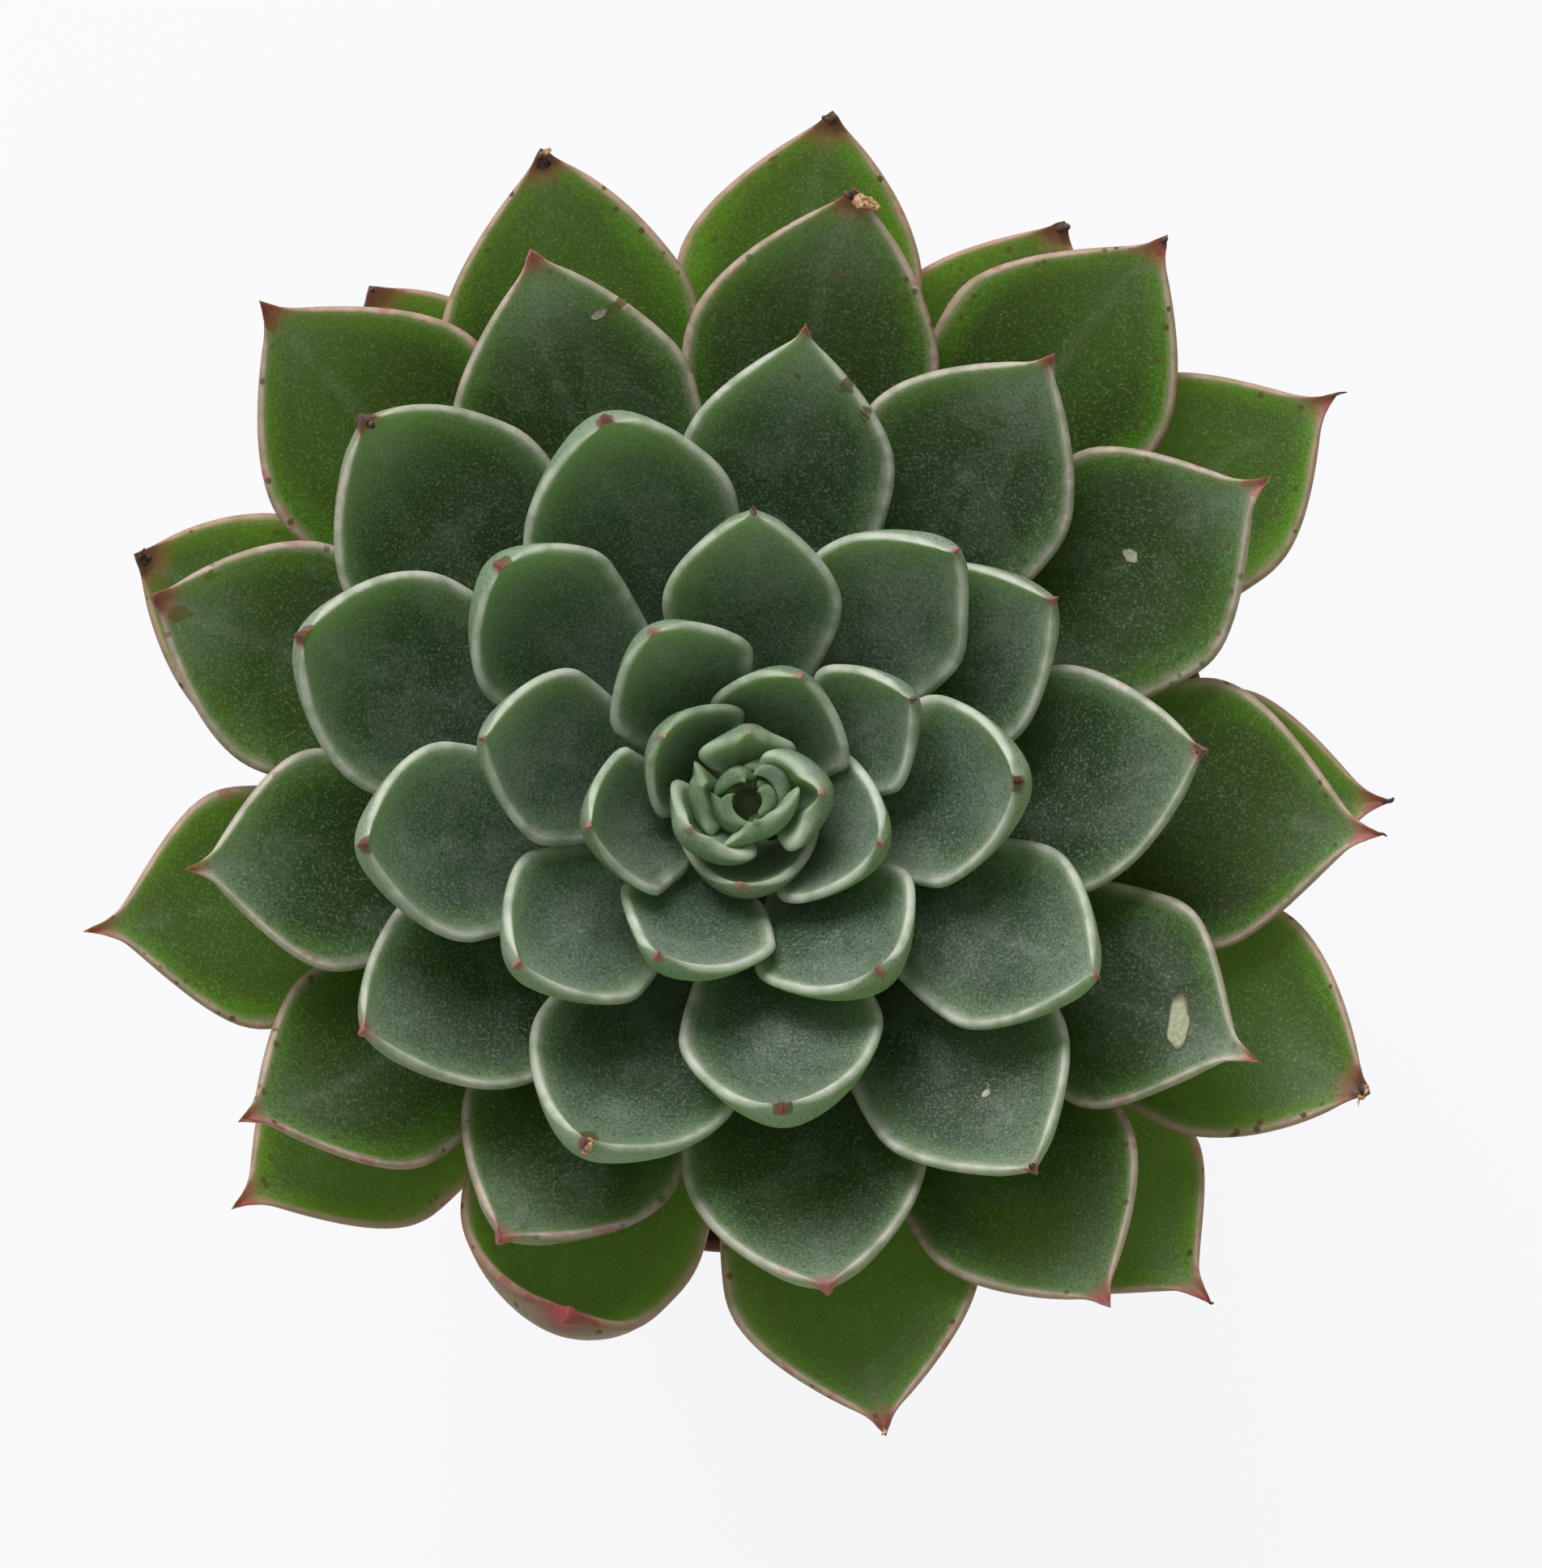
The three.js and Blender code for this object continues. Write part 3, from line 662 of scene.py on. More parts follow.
# Healed wound in the skin: a pale dry cork plate with a thin brown rim
def corkyScab():
    look = {"plate": "#a4a98a", "shade": "#868c70", "rim": "#5d5240", "grain": 0.5}
    material, tree = newMaterial("corkyScab")
    place = addNode(tree, "TexCoord", output="Object")
    rim = addNode(tree, "Attribute", output="Fac", attribute_name="rim")
    grain = addNode(tree, "TexNoise", {"Vector": place, "Scale": 1 / (look["grain"] * mm), "Detail": 3.0})
    plate = addNode(tree, "ValToRGB", {"Fac": grain}, stops=[(0.3, look["shade"]), (0.6, look["plate"])])
    edge = addNode(tree, "MapRange", {"Value": rim, 1: 0.72, 2: 0.92})
    tone = addNode(tree, "Mix", {"Factor": edge, 6: plate, 7: look["rim"]}, output=2, data_type="RGBA")
    bump = addNode(tree, "Bump", {"Height": grain, "Strength": 0.6, "Distance": 0.1 * mm})
    shader = addNode(tree, "BsdfPrincipled", {"Base Color": tone, "Roughness": 0.8, "Normal": bump})
    addNode(tree, "OutputMaterial", {"Surface": shader})
    return material


# Thin injection-moulded pot, recycled terracotta-brown plastic with a dull skin and peat dust on it
def mouldedNurseryPlastic():
    look = {"body": "#6d3424", "worn": "#85503c", "dust": "#6a5442", "dustPatch": 9, "flow": 30, "grit": 0.6}
    material, tree = newMaterial("mouldedNurseryPlastic")
    place = addNode(tree, "TexCoord", output="Object")
    height = addNode(tree, "SeparateXYZ", {0: place}, output="Z")
    flow = addNode(tree, "TexNoise", {"Vector": place, "Scale": 1 / (look["flow"] * mm), "Detail": 5.0})
    dust = addNode(tree, "TexNoise",
                   {"Vector": place, "Scale": 1 / (look["dustPatch"] * mm), "Detail": 8.0, "Roughness": 0.7})
    grit = addNode(tree, "TexNoise", {"Vector": place, "Scale": 1 / (look["grit"] * mm), "Detail": 2.0})
    body = addNode(tree, "ValToRGB", {"Fac": flow}, stops=[(0.35, look["body"]), (0.75, look["worn"])])
    low = addNode(tree, "MapRange", {"Value": height, 1: 22 * mm, 2: 0.0, 3: 0.0, 4: 0.16})
    high = addNode(tree, "MapRange", {"Value": height, 1: 80 * mm, 2: 93 * mm, 3: 0.0, 4: 0.12})
    ends = addNode(tree, "Math", {0: low, 1: high}, operation="ADD")
    dustWay = addNode(tree, "Math", {0: dust, 1: ends}, operation="ADD")
    dusty = addNode(tree, "MapRange", {"Value": dustWay, 1: 0.56, 2: 0.72, 3: 0.0, 4: 0.7})
    tone = addNode(tree, "Mix", {"Factor": dusty, 6: body, 7: look["dust"]}, output=2, data_type="RGBA")
    rough = addNode(tree, "MapRange", {"Value": dusty, 1: 0.0, 2: 0.7, 3: 0.4, 4: 0.85})
    bump = addNode(tree, "Bump", {"Height": grit, "Strength": 0.25, "Distance": 0.08 * mm})
    shader = addNode(tree, "BsdfPrincipled", {"Base Color": tone, "Roughness": rough, "Normal": bump})
    addNode(tree, "OutputMaterial", {"Surface": shader})
    return material


# Peat potting mix: near-black brown crumbs, paler where they have dried
def dampPeat():
    look = {"wet": "#1d1511", "dry": "#54402f", "crumb": 1.2}
    material, tree = newMaterial("dampPeat")
    place = addNode(tree, "TexCoord", output="Object")
    crumbs = addNode(tree, "TexNoise",
                     {"Vector": place, "Scale": 1 / (look["crumb"] * mm), "Detail": 6.0, "Roughness": 0.7})
    tone = addNode(tree, "ValToRGB", {"Fac": crumbs}, stops=[(0.35, look["wet"]), (0.7, look["dry"])])
    bump = addNode(tree, "Bump", {"Height": crumbs, "Strength": 0.8, "Distance": 0.4 * mm})
    shader = addNode(tree, "BsdfPrincipled", {"Base Color": tone, "Roughness": 0.9, "Normal": bump})
    addNode(tree, "OutputMaterial", {"Surface": shader})
    return material


# Bits of composted bark, red-brown and fibrous
def splitBark():
    look = {"dark": "#3a2418", "light": "#8a5f3f", "fibre": 0.8}
    material, tree = newMaterial("splitBark")
    place = addNode(tree, "TexCoord", output="Object")
    fibres = addNode(tree, "TexNoise", {"Vector": place, "Scale": 1 / (look["fibre"] * mm), "Detail": 5.0})
    tone = addNode(tree, "ValToRGB", {"Fac": fibres}, stops=[(0.3, look["dark"]), (0.72, look["light"])])
    bump = addNode(tree, "Bump", {"Height": fibres, "Strength": 0.7, "Distance": 0.25 * mm})
    shader = addNode(tree, "BsdfPrincipled", {"Base Color": tone, "Roughness": 0.85, "Normal": bump})
    addNode(tree, "OutputMaterial", {"Surface": shader})
    return material


# Perlite grains: popped volcanic glass, chalky white and pitted
def expandedPerlite():
    look = {"shade": "#b9b4a8", "white": "#eceae2", "pit": 0.5}
    material, tree = newMaterial("expandedPerlite")
    place = addNode(tree, "TexCoord", output="Object")
    pits = addNode(tree, "TexNoise", {"Vector": place, "Scale": 1 / (look["pit"] * mm), "Detail": 4.0})
    tone = addNode(tree, "ValToRGB", {"Fac": pits}, stops=[(0.35, look["shade"]), (0.6, look["white"])])
    bump = addNode(tree, "Bump", {"Height": pits, "Strength": 0.7, "Distance": 0.2 * mm})
    shader = addNode(tree, "BsdfPrincipled", {"Base Color": tone, "Roughness": 0.9, "Normal": bump})
    addNode(tree, "OutputMaterial", {"Surface": shader})
    return material


# Old succulent stem: grey-tan cork, greener near the top where leaves still hang on
def corkyStemBark():
    look = {"cork": "#8a7558", "dark": "#4d3d2c", "green": "#6f8050", "crack": 1.6}
    material, tree = newMaterial("corkyStemBark")
    place = addNode(tree, "TexCoord", output="Object")
    height = addNode(tree, "SeparateXYZ", {0: place}, output="Z")
    cracks = addNode(tree, "TexNoise", {"Vector": place, "Scale": 1 / (look["crack"] * mm), "Detail": 6.0})
    cork = addNode(tree, "ValToRGB", {"Fac": cracks}, stops=[(0.35, look["dark"]), (0.65, look["cork"])])
    alive = addNode(tree, "MapRange", {"Value": height, 1: 98 * mm, 2: 118 * mm})
    tone = addNode(tree, "Mix", {"Factor": alive, 6: cork, 7: look["green"]}, output=2, data_type="RGBA")
    bump = addNode(tree, "Bump", {"Height": cracks, "Strength": 0.8, "Distance": 0.4 * mm})
    shader = addNode(tree, "BsdfPrincipled", {"Base Color": tone, "Roughness": 0.8, "Normal": bump})
    addNode(tree, "OutputMaterial", {"Surface": shader})
    return material


leafSkin = waxyLeafSkin()
driedHorn = witheredSkin()
straw = strawSkin()
cork = corkyScab()


# Brown marks by leaf: [distance from the tip, across, length, width, angle]
stains = {
    28: [(6.5, -5.5, 3.0, 1.4, -40), (9.6, -7.9, 2.6, 0.9, -20), (7.0, 0.0, 0.7, 0.7, 0)],
    39: [(4.0, 0.6, 2.8, 1.8, 20), (5.4, -4.6, 1.8, 1.2, 30)],
    36: [(9.3, -8.7, 1.2, 3.4, 20)],
    54: [(5.9, 5.4, 0.9, 0.9, 0), (9.5, 8.5, 0.7, 0.7, 0)],
    41: [(10.5, -1.6, 1.8, 1.2, 15)],
    44: [(2.2, 0.8, 3.4, 1.6, 0)],
    50: [(4.8, -4.0, 1.2, 1.6, 0), (6.5, 3.0, 1.0, 0.8, 0)],
    18: [(1.2, -0.6, 2.6, 1.8, 10)],
    24: [(3.2, -0.2, 3.2, 1.8, 0)],
    23: [(1.2, 0.1, 1.8, 1.8, 0)],
    26: [(1.4, -0.4, 2.0, 2.4, 0)],
    31: [(1.0, 0.0, 2.2, 2.6, 0)],
    17: [(1.2, -0.3, 2.6, 1.6, 0)],
    19: [(1.0, 0.0, 1.8, 2.4, 0)],
    21: [(1.0, 0.0, 2.0, 1.8, 0)],
}

leaves = {}
names = {}
for number, row in enumerate(leafPlan, 1):
    leaf = plannedLeaf(*row)
    leaves[leaf["order"]] = leaf
    name = "leaf_%02d" % number
    slot = "old_leaf" if number <= 21 else "mid_leaf" if number <= 42 else "young_leaf"
    names[leaf["order"]] = (name, slot)
    finishPiece(leafMesh(leaf, stains.get(leaf["order"], ())), "grown_" + name, leafSkin, [name])
print("open leaves grown:", len(leaves))


# The youngest leaves, still folded into a bud
# [age, azimuth, reach, width, length, foot radius, tip slope, sway, ends anticlockwise and clockwise]
budPlan = [
    (5, 356.5, 7.4, 12, 11.4, 2.0, 95, 0, ((74, 4.3, 1.5, 1.6), (56, 6.8, 3.0, 1.3))),
    (4.5, 212.4, 7.1, 12, 11.2, 2.0, 102, 0, ((72, 5.8, 2.8, 1.3), (45, 7.9, 2.4, 0.4))),
    (4, 88.6, 5.95, 11, 10.6, 1.6, 84, 0, ((53, 6.9, 3.0, 0.7), (44, 7.2, 4.0, 0.2))),
    (2.5, 281.5, 3.15, 9, 9.4, 1.2, 107, 0, ((92, 5.1, 1.5, 0.8), (44, 5.4, 2.4, 0.8))),
    (2, 175, 4.7, 9, 9.6, 1.3, 96, 0, ((60, 5.2, 2.6, 0.7), (24, 6.7, 2.8, 0.7))),
    (1.2, 69, 1.55, 6, 7.4, 1.9, 126, -40, ((66, 2.9, 2.2, 0), (55, 3.0, 2.6, 0))),
    (1, 198, 1.5, 6, 7.0, 1.9, 126, 44, ((84, 2.5, 1.8, 0), (44, 3.8, 2.4, 0))),
    (0.8, 118, 0.8, 5, 6.6, 1.5, 122, 20, ((54, 3.2, 2.0, 0), (56, 2.0, 2.2, 0))),
    (0.5, 345, 0.9, 4, 6.4, 0.9, 116, -30, ((60, 1.5, 1.4, 0), (70, 1.5, 1.4, 0))),
]
for number, row in enumerate(budPlan, 1):
    leaf = foldedLeaf(*row)
    finishPiece(leafMesh(leaf), "budLeaf_%d" % number, leafSkin, ["bud"])
print("bud folded")


# A closed strand drawn out along a path, in mm
def strand(bm, path, radiusAt, sides=10, rings=22, flat=1.0, lumps=0.0):
    made = bmesh.ops.create_uvsphere(bm, u_segments=sides, v_segments=rings, radius=1)["verts"]
    for vert in made:
        t = 1 - math.acos(min(max(vert.co.z, -1), 1)) / math.pi
        turn = math.atan2(vert.co.y, vert.co.x)
        at = t * (len(path) - 1)
        i = min(int(at), len(path) - 2)
        centre = path[i].lerp(path[i + 1], at - i)
        along = (path[i + 1] - path[i]).normalized()
        side = along.cross(Vector((0, 0, 1))).normalized()
        up = side.cross(along)
        edge = math.sqrt(max(1 - (2 * t - 1) ** 6, 0))
        radius = radiusAt(t) * edge
        radius *= 1 + lumps * noise.noise(centre * 1.7 + Vector((math.cos(turn), math.sin(turn), 0)))
        vert.co = (centre + side * math.cos(turn) * radius + up * math.sin(turn) * radius * flat) * mm


# Place of a leaf's tip, the way it points, the way across it, and up out of its face, in mm
def tipFrame(leaf):
    tip = crownToRow @ leafPoint(leaf, 1, 0) / mm
    before = crownToRow @ leafPoint(leaf, 0.96, math.pi / 2) / mm
    along = (tip - before).normalized()
    across = along.cross(Vector((0, 0, 1))).normalized()
    return tip, along, across, across.cross(along)


# Path out of the tip through [along, across, up] places in mm
def driedPath(leaf, start, bends):
    tip, along, across, up = tipFrame(leaf)
    places = [tip - along * start]
    places += [tip + along * a + across * b + up * c for a, b, c in bends]
    smoothed = []
    for i in range(len(places) - 1):
        before, after = places[max(i - 1, 0)], places[min(i + 2, len(places) - 1)]
        for k in range(6):
            t = k / 6
            first, second = places[i], places[i + 1]
            smoothed.append(0.5 * (2 * first + (second - before) * t
                                   + (2 * before - 5 * first + 4 * second - after) * t * t
                                   + (3 * first - before - 3 * second + after) * t ** 3))
    return smoothed + [places[-1]]


# By leaf, in mm: [kind, radius at the foot, radius at the end, flatness, start inside the tip, path]
driedTips = {
    49: [("horn", 0.8, 0.5, 0.4, 2.4, [(-1.2, 0.0, 0.1), (-0.3, -0.2, 0.2)]),
         ("straw", 0.45, 0.2, 0.5, 0.8, [(0.0, 0.5, 0.5), (0.3, 1.1, 0.5)])],
    54: [("horn", 0.6, 0.4, 0.7, 1.5, [(-0.8, 0.1, 0.1), (-0.1, 0.4, 0.3)]),
         ("horn", 0.35, 0.2, 0.5, 1.0, [(-0.8, -0.5, 0.2), (-0.8, -1.1, 0.1)])],
    46: [("horn", 0.4, 0.25, 0.7, 1.0, [(-0.4, 0.1, 0.1), (0.0, 0.3, 0.3)])],
    59: [("horn", 0.55, 0.35, 0.7, 1.5, [(-0.8, 0.1, 0.1), (-0.3, 0.4, 0.3), (-0.5, 0.9, 0.2)])],
    52: [("horn", 0.7, 0.4, 0.5, 2.0, [(-1.0, 0.0, 0.1), (-0.2, 0.2, 0.3)]),
         ("horn", 0.16, 0.07, 1.0, 0.6, [(-0.2, 0.4, 0.5), (0.1, 1.1, 0.9)])],
    48: [("horn", 0.6, 0.3, 0.7, 1.2, [(-0.3, -0.1, 0.2), (0.1, 0.2, 0.4)]),
         ("straw", 0.25, 0.12, 0.7, 0.4,
          [(0.1, -0.5, 0.6), (0.8, 0.1, 1.0), (0.4, 1.0, 0.8), (-0.3, 0.8, 0.6), (0.1, 1.9, 0.5)])],
    45: [("straw", 0.3, 0.08, 0.8, 0.6, [(0.1, 0.0, 0.1), (0.6, 0.5, 0.2)])],
    43: [("horn", 0.2, 0.08, 1.0, 0.6, [(0.4, 0.0, 0.1), (1.2, 0.3, 0.3)])],
    57: [("horn", 0.24, 0.1, 1.0, 0.6, [(0.2, 0.0, 0.6), (0.9, 0.2, 1.6)])],
    51: [("horn", 0.22, 0.07, 1.0, 0.8, [(0.4, 0.2, 0.2), (1.3, 0.6, 0.5)])],
    56: [("horn", 0.35, 0.12, 0.8, 1.0, [(0.2, 0.0, 0.2), (0.8, -0.3, 0.4)])],
    53: [("horn", 0.22, 0.1, 1.0, 0.6, [(0.2, 0.0, 0.1), (0.6, -0.2, 0.3)])],
    30: [("horn", 0.35, 0.14, 0.8, 0.9, [(0.0, 0.1, 0.3), (0.2, 0.6, 0.6)])],
    15: [("horn", 0.35, 0.12, 0.9, 0.8, [(0.1, 0.0, 0.2), (0.5, 0.1, 0.6)])],
    12: [("horn", 0.22, 0.1, 1.0, 0.4, [(0.2, -0.1, 0.3), (0.6, -0.2, 0.8)])],
    24: [("straw", 0.8, 0.3, 0.4, 1.6, [(-0.9, 0.2, 0.8), (-2.4, -0.3, 1.7)])],
    41: [("straw", 0.9, 0.5, 0.22, 1.8, [(-0.9, 0.6, 0.5), (-0.9, 1.9, 0.6), (-1.4, 3.2, 0.4)]),
         ("horn", 0.45, 0.3, 0.6, 1.2, [(-0.5, -0.4, 0.3), (-0.5, -1.2, 0.2)])],
    31: [("horn", 0.5, 0.3, 0.5, 1.1, [(-0.5, 0.3, 0.4), (-1.1, 0.4, 0.6)])],
    17: [("horn", 0.45, 0.25, 0.6, 1.0, [(-0.5, 0.2, 0.4), (-1.1, 0.1, 0.6)])],
    27: [("horn", 0.35, 0.2, 0.7, 0.9, [(-0.1, 0.1, 0.2), (0.1, -0.4, 0.3)])],
}
for order, parts in driedTips.items():
    for kind, material in (("horn", driedHorn), ("straw", straw)):
        chosen = [part for part in parts if part[0] == kind]
        if chosen:
            bm = bmesh.new()
            for part in chosen:
                strand(bm, driedPath(leaves[order], part[4], part[5]),
                       lambda t, part=part: mix(part[1], part[2], t), flat=part[3], lumps=0.5)
            name, slot = names[order]
            finishPiece(bm, "%sTip_%s" % (kind, name), material, [name])
print("dried tips made")


# By leaf: [distance from the tip, across, length, width, angle] of each plate
scars = {
    38: [(19.1, 0.3, 1.5, 2.0, 20)],
    35: [(11.7, 0.2, 3.0, 6.4, 24)],
    27: [(14.0, 0.0, 1.0, 1.3, 10)],
    36: [(9.9, -6.4, 1.1, 2.2, 15)],
}
scab = {"proud": 0.12, "sunk": 0.25}
for order, plates in scars.items():
    leaf = leaves[order]
    bm = bmesh.new()
    rimLayer = bm.verts.layers.float.new("rim")
    for fromTip, across, length, width, angle in plates:
        a = math.radians(angle)
        made = bmesh.ops.create_uvsphere(bm, u_segments=32, v_segments=14, radius=1)["verts"]
        for vert in made:
            x, y, z = vert.co
            wobble = 1 + 0.35 * noise.noise(Vector((x * 1.6, y * 1.6, order + fromTip)))
            u, v = x * width / 2 * wobble, y * length / 2 * wobble
            sideways = across + u * math.cos(a) - v * math.sin(a)
            tipward = fromTip + u * math.sin(a) + v * math.cos(a)
            s = 1 - tipward / leaf["length"]
            share = min(max(sideways / crossSection(leaf, s)[0], -0.99), 0.99)
            lift = scab["sunk"] * z
            if z > 0:
                lift = scab["proud"] * (0.6 + 0.4 * math.hypot(x, y)) * z ** 0.3
            vert[rimLayer] = math.hypot(x, y)
            vert.co = crownToRow @ leafPoint(leaf, s, math.acos(share), lift)
    name, slot = names[order]
    finishPiece(bm, "scar_" + name, cork, [name])
print("scars made")


# Nursery pot, in mm, with a stepped rim and drain holes in a raised channel under it
pot = {
    "height": 93,
    "rimRadius": 52.5,
    "rimDepth": 9,
    "rimStep": 1.6,
    "baseRadius": 38,
    "wall": 1.1,
    "floor": 3.6,
    "drainCount": 8,
    "drainRadius": 2.9,
    "drainAt": 29.5,
    "channelInner": 25,
    "channelOuter": 34,
    "channelLift": 2,
    "steps": 160,
}
neckHeight = pot["height"] - pot["rimDepth"]
neckRadius = pot["rimRadius"] - pot["rimStep"] - 0.6


def wallRadius(z):
    return pot["baseRadius"] + (neckRadius - pot["baseRadius"]) * z / neckHeight


# Spins a closed [radius, height] outline round the z axis, in mm
def lathe(profile, steps):
    bm = bmesh.new()
    made = [bm.verts.new((r * mm, 0, z * mm)) for r, z in profile]
    edges = [bm.edges.new(pair) for pair in zip(made, made[1:])]
    bmesh.ops.spin(bm, geom=made + edges, axis=(0, 0, 1), cent=(0, 0, 0), steps=steps, angle=2 * math.pi,
                   use_merge=True)
    bmesh.ops.remove_doubles(bm, verts=bm.verts, dist=0.001 * mm)
    return bm


# Points on a rounded corner, from one angle to another in degrees
def arc(r, z, radius, start, end, steps=6):
    angles = [math.radians(mix(start, end, i / steps)) for i in range(steps + 1)]
    return [(r + radius * math.cos(a), z + radius * math.sin(a)) for a in angles]


rimInside = pot["rimRadius"] - 1.5
outside = [(0, 0), (pot["channelInner"] - 0.4, 0), (pot["channelInner"] + 1, pot["channelLift"]),
           (pot["channelOuter"] - 1, pot["channelLift"]), (pot["channelOuter"] + 0.4, 0)]
outside += arc(pot["baseRadius"] - 1, 1, 1, -90, 0)
outside += [(wallRadius(z), z) for z in (12, 30, 50, 70)]
outside += [(neckRadius, neckHeight - 0.8), (neckRadius + 0.3, neckHeight - 0.2)]
outside += arc(pot["rimRadius"] - 0.6, neckHeight + 0.6, 0.6, -90, 0)
outside += arc(pot["rimRadius"] - 0.7, pot["height"] - 0.7, 0.7, 0, 180, 12)
outside += [(rimInside, neckHeight + 1.4), (rimInside - 0.4, neckHeight + 0.6)]
outside += [(neckRadius - pot["wall"], neckHeight - 1)]
outside += [(wallRadius(z) - pot["wall"], z) for z in (70, 50, 30, 12)]
outside += [(wallRadius(5) - pot["wall"], 5), (wallRadius(3.6) - pot["wall"] - 1.2, pot["floor"])]
outside += [(pot["channelInner"] - 0.5, pot["floor"]), (pot["channelInner"] - 1.5, 1.6), (0, 1.6)]

plastic = mouldedNurseryPlastic()
turnedPot = finishPiece(lathe(outside, pot["steps"]), "turnedPot", plastic, ["pot"])

cutterMesh = bmesh.new()
for i in range(pot["drainCount"]):
    a = 2 * math.pi * i / pot["drainCount"]
    at = Matrix.Translation((pot["drainAt"] * mm * math.cos(a), pot["drainAt"] * mm * math.sin(a), 3 * mm))
    bmesh.ops.create_cone(cutterMesh, cap_ends=True, segments=32, radius1=pot["drainRadius"] * mm,
                          radius2=pot["drainRadius"] * mm, depth=8 * mm, matrix=at)
cutterData = bpy.data.meshes.new("cutter")
cutterMesh.to_mesh(cutterData)
cutterMesh.free()
cutter = bpy.data.objects.new("cutter", cutterData)
bpy.context.scene.collection.objects.link(cutter)
drains = turnedPot.modifiers.new("drains", "BOOLEAN")
drains.operation = "DIFFERENCE"
drains.object = cutter
bpy.context.view_layer.update()
bored = bpy.data.meshes.new_from_object(turnedPot.evaluated_get(bpy.context.evaluated_depsgraph_get()))
turnedPot.modifiers.clear()
turnedPot.data = bored
bored.set_sharp_from_angle(angle=math.radians(40))
bpy.data.objects.remove(cutter)
print("pot made")


# Potting mix, in mm, filling the pot to below its rim
soil = {"top": 84, "wave": 0.5, "gap": 0.15, "crumb": 0.7, "steps": 200, "rings": 60}


def soilHeight(x, y):
    return soil["top"] + soil["wave"] * (math.sin(x / 7 + 1) + math.sin(y / 6 + x / 15) * math.cos(x / 11))


soilRadius = wallRadius(soil["top"] - 1.5) - pot["wall"] - soil["gap"]
soilFoot = pot["floor"] + 0.1
soilOutline = [(r, soilFoot) for r in (0, pot["channelInner"], wallRadius(4) - 4)]
soilOutline += [(wallRadius(z) - pot["wall"] - soil["gap"], z) for z in (6, 20, 40, 60, 76, 82)]
soilOutline += [(soilRadius * (1 - i / soil["rings"]), soil["top"]) for i in range(soil["rings"] + 1)]
soilBody = lathe(soilOutline, soil["steps"])
for vert in soilBody.verts:
    x, y, z = vert.co / mm
    if z > soil["top"] - 0.1:
        rough = noise.fractal(Vector((x, y, 3)) / 4, 0.7, 2.1, 5) * soil["crumb"]
        vert.co.z = (soilHeight(x, y) - 0.7 + rough) * mm
peat = dampPeat()
finishPiece(soilBody, "peatBed", peat, ["soil"])


# Loose bits lying on the potting mix, each a roughened sphere pressed into the surface
def scattered(name, count, seed, smallest, largest, facets, shape, material):
    chance = random.Random(seed)
    bm = bmesh.new()
    for i in range(count):
        reach = math.sqrt(chance.uniform(0.03, 1)) * (soilRadius - 1.5)
        a = chance.uniform(0, 2 * math.pi)
        x, y = reach * math.cos(a), reach * math.sin(a)
        size = chance.uniform(smallest, largest)
        heading = Matrix.Rotation(chance.uniform(0, 6.28), 4, "Z")
        turned = heading @ Matrix.Rotation(chance.uniform(-0.5, 0.5), 4, "X")
        stretched = Matrix.Diagonal((*[size * part * chance.uniform(0.8, 1.2) for part in shape], 1))
        height = soilHeight(x, y) - 0.4 + size * shape[2] * 0.3
        place = Matrix.Translation((x, y, height)) @ turned @ stretched
        made = bmesh.ops.create_icosphere(bm, subdivisions=facets, radius=1)["verts"]
        offset = chance.uniform(0, 50)
        for vert in made:
            swollen = 1 + 0.45 * noise.noise(vert.co * 1.3 + Vector((offset, i, 0)))
            vert.co = place @ (vert.co * swollen) * mm
    return finishPiece(bm, name, material, ["soil"])


scattered("peatCrumbs", 900, 5, 0.5, 1.4, 1, (1.2, 1, 0.8), peat)
scattered("barkBits", 170, 8, 1.2, 3.2, 2, (1.5, 0.8, 0.35), splitBark())
scattered("perliteGrains", 130, 3, 0.7, 1.7, 2, (1, 0.9, 0.8), expandedPerlite())
print("potting mix made")


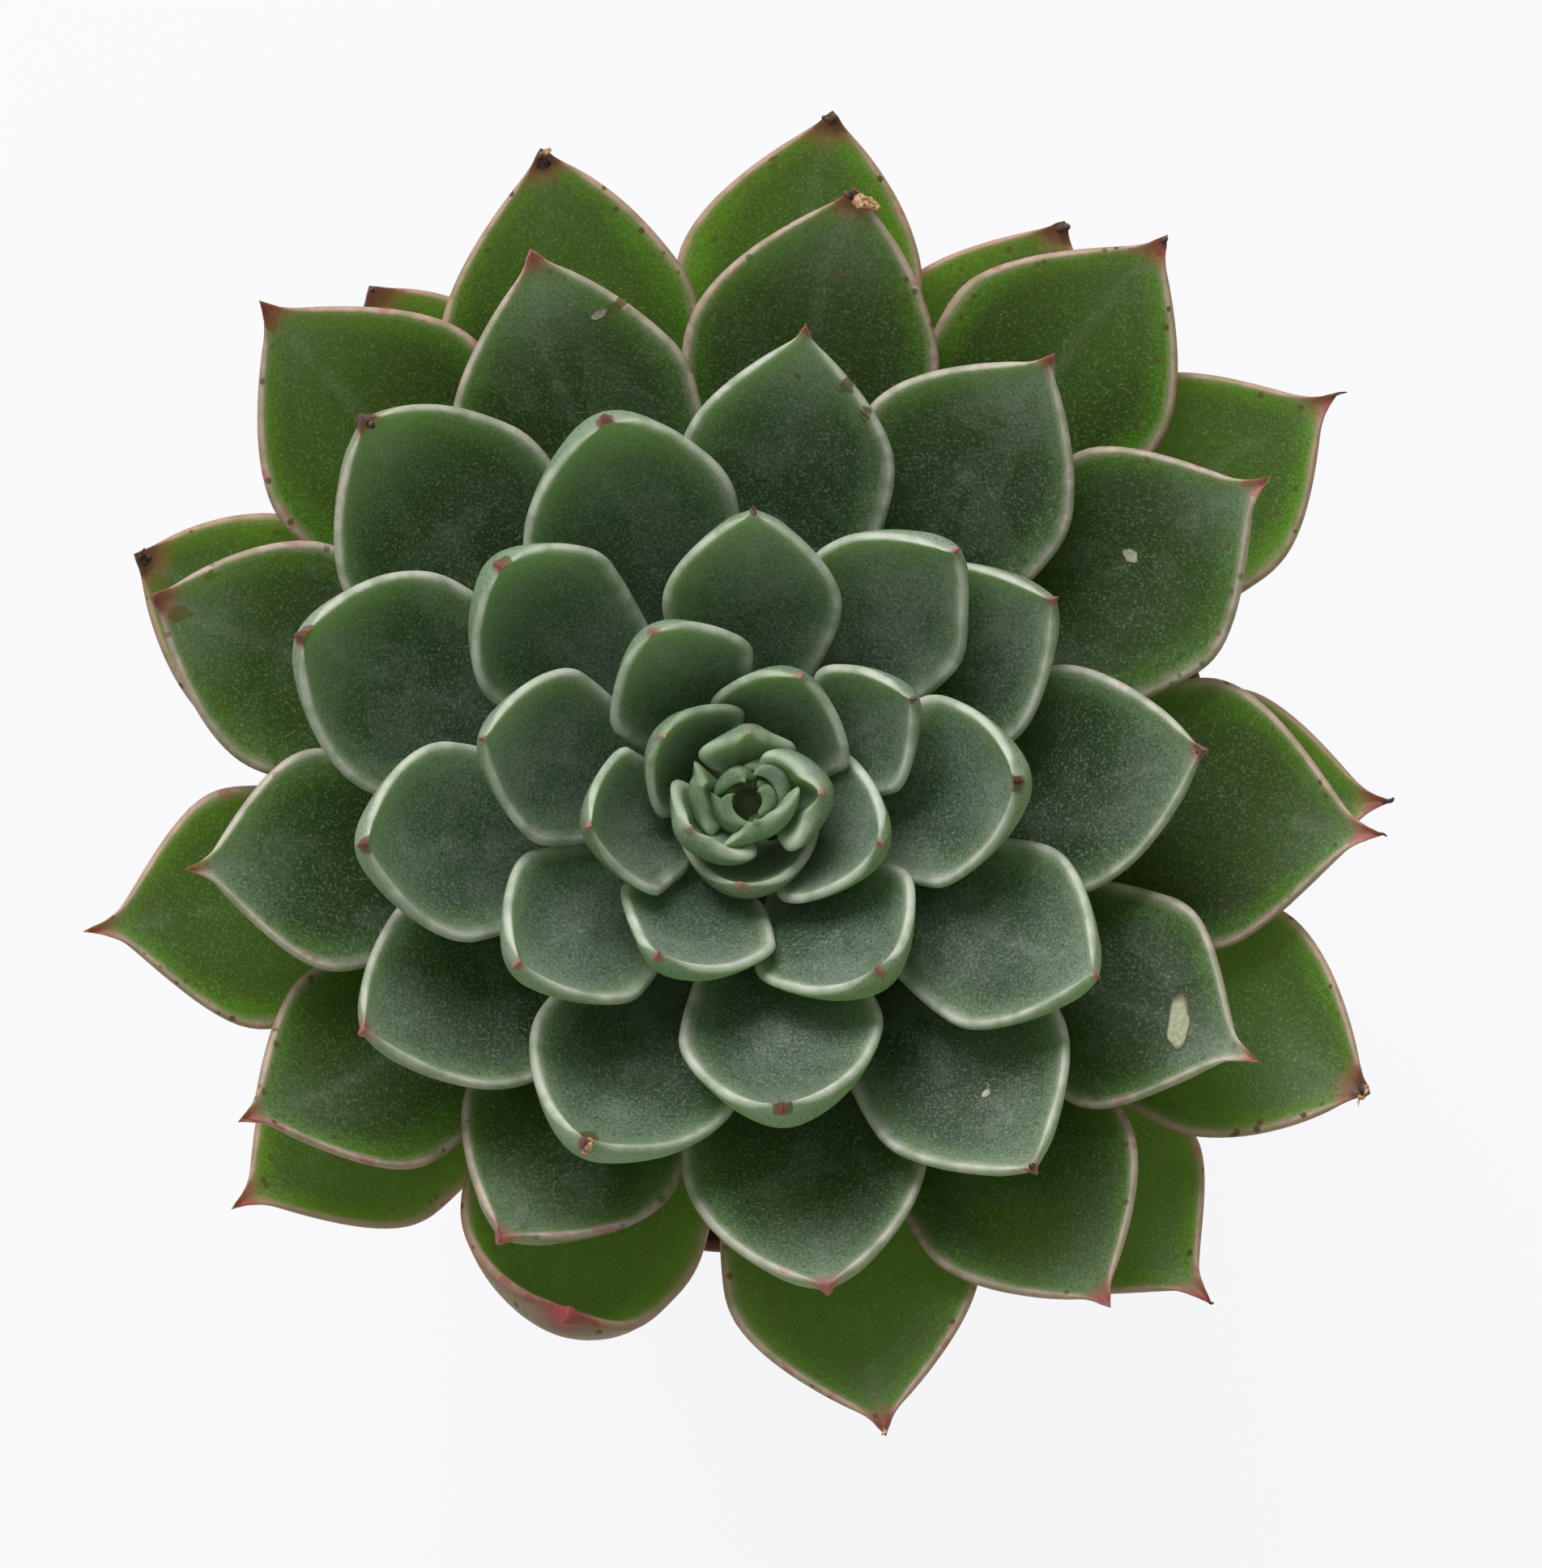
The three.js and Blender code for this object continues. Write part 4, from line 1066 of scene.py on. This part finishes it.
# Stem, drawn out of a sphere
bm = bmesh.new()
bmesh.ops.create_uvsphere(bm, u_segments=64, v_segments=120, radius=1)
stemLow, stemHigh = -44, crown["stemTop"] - 1.5
for vert in bm.verts:
    t = 1 - math.acos(min(max(vert.co.z, -1), 1)) / math.pi
    turn = math.atan2(vert.co.y, vert.co.x)
    z = mix(stemLow, stemHigh, t)
    rooted = mix(0.25, 1, smooth((z - stemLow) / 40))
    radius = (stemRadiusAt(z) - 0.15) * rooted * math.sqrt(max(1 - (2 * t - 1) ** 30, 0))
    ring = abs(math.sin(z * 1.9 + turn)) ** 0.5
    lump = noise.noise(Vector((math.cos(turn) * 3, math.sin(turn) * 3, z / 3)))
    radius *= 1 + 0.05 * (ring - 1) + 0.05 * lump
    vert.co = crownToRow @ Vector((radius * math.cos(turn), radius * math.sin(turn), z))
finishPiece(bm, "corkyStem", corkyStemBark(), ["stem"])
print("stem made")


# White light-table top: it glows evenly, so that nothing on it throws a hard shadow
def paleFloor():
    material, tree = newMaterial("paleFloor")
    shader = addNode(tree, "BsdfPrincipled", {
        "Base Color": tint("#404040"),
        "Roughness": 0.8,
        "Specular IOR Level": 0.1,
        "Emission Color": tint("#fbfbfd"),
        "Emission Strength": 0.93,
    })
    addNode(tree, "OutputMaterial", {"Surface": shader})
    return material


floorMesh = bmesh.new()
bmesh.ops.create_grid(floorMesh, x_segments=8, y_segments=8, size=3)
floorData = bpy.data.meshes.new("floor")
floorMesh.to_mesh(floorData)
floorMesh.free()
floor = bpy.data.objects.new("floor", floorData)
bpy.context.scene.collection.objects.link(floor)
floorData.materials.append(paleFloor())

world = bpy.data.worlds.new("softRoom")
world.use_nodes = True
world.node_tree.nodes["Background"].inputs["Color"].default_value = (1, 1, 1, 1)
world.node_tree.nodes["Background"].inputs["Strength"].default_value = 0.22
bpy.context.scene.world = world

lamps = {
    "keySoftbox": {"at": (-0.25, 0.75, 0.75), "size": 0.6, "power": 12.5},
    "topFill": {"at": (-0.2, -0.1, 1.3), "size": 1.0, "power": 2.0},
}
for name, lamp in lamps.items():
    data = bpy.data.lights.new(name, "AREA")
    data.shape = "SQUARE"
    data.size = lamp["size"]
    data.energy = lamp["power"]
    light = bpy.data.objects.new(name, data)
    bpy.context.scene.collection.objects.link(light)
    light.location = lamp["at"]
    light.rotation_mode = "QUATERNION"
    light.rotation_quaternion = (Vector((0, 0, 0.11)) - Vector(lamp["at"])).to_track_quat("-Z", "Y")
bpy.context.scene.view_settings.view_transform = "Standard"
print("floor and light ready")
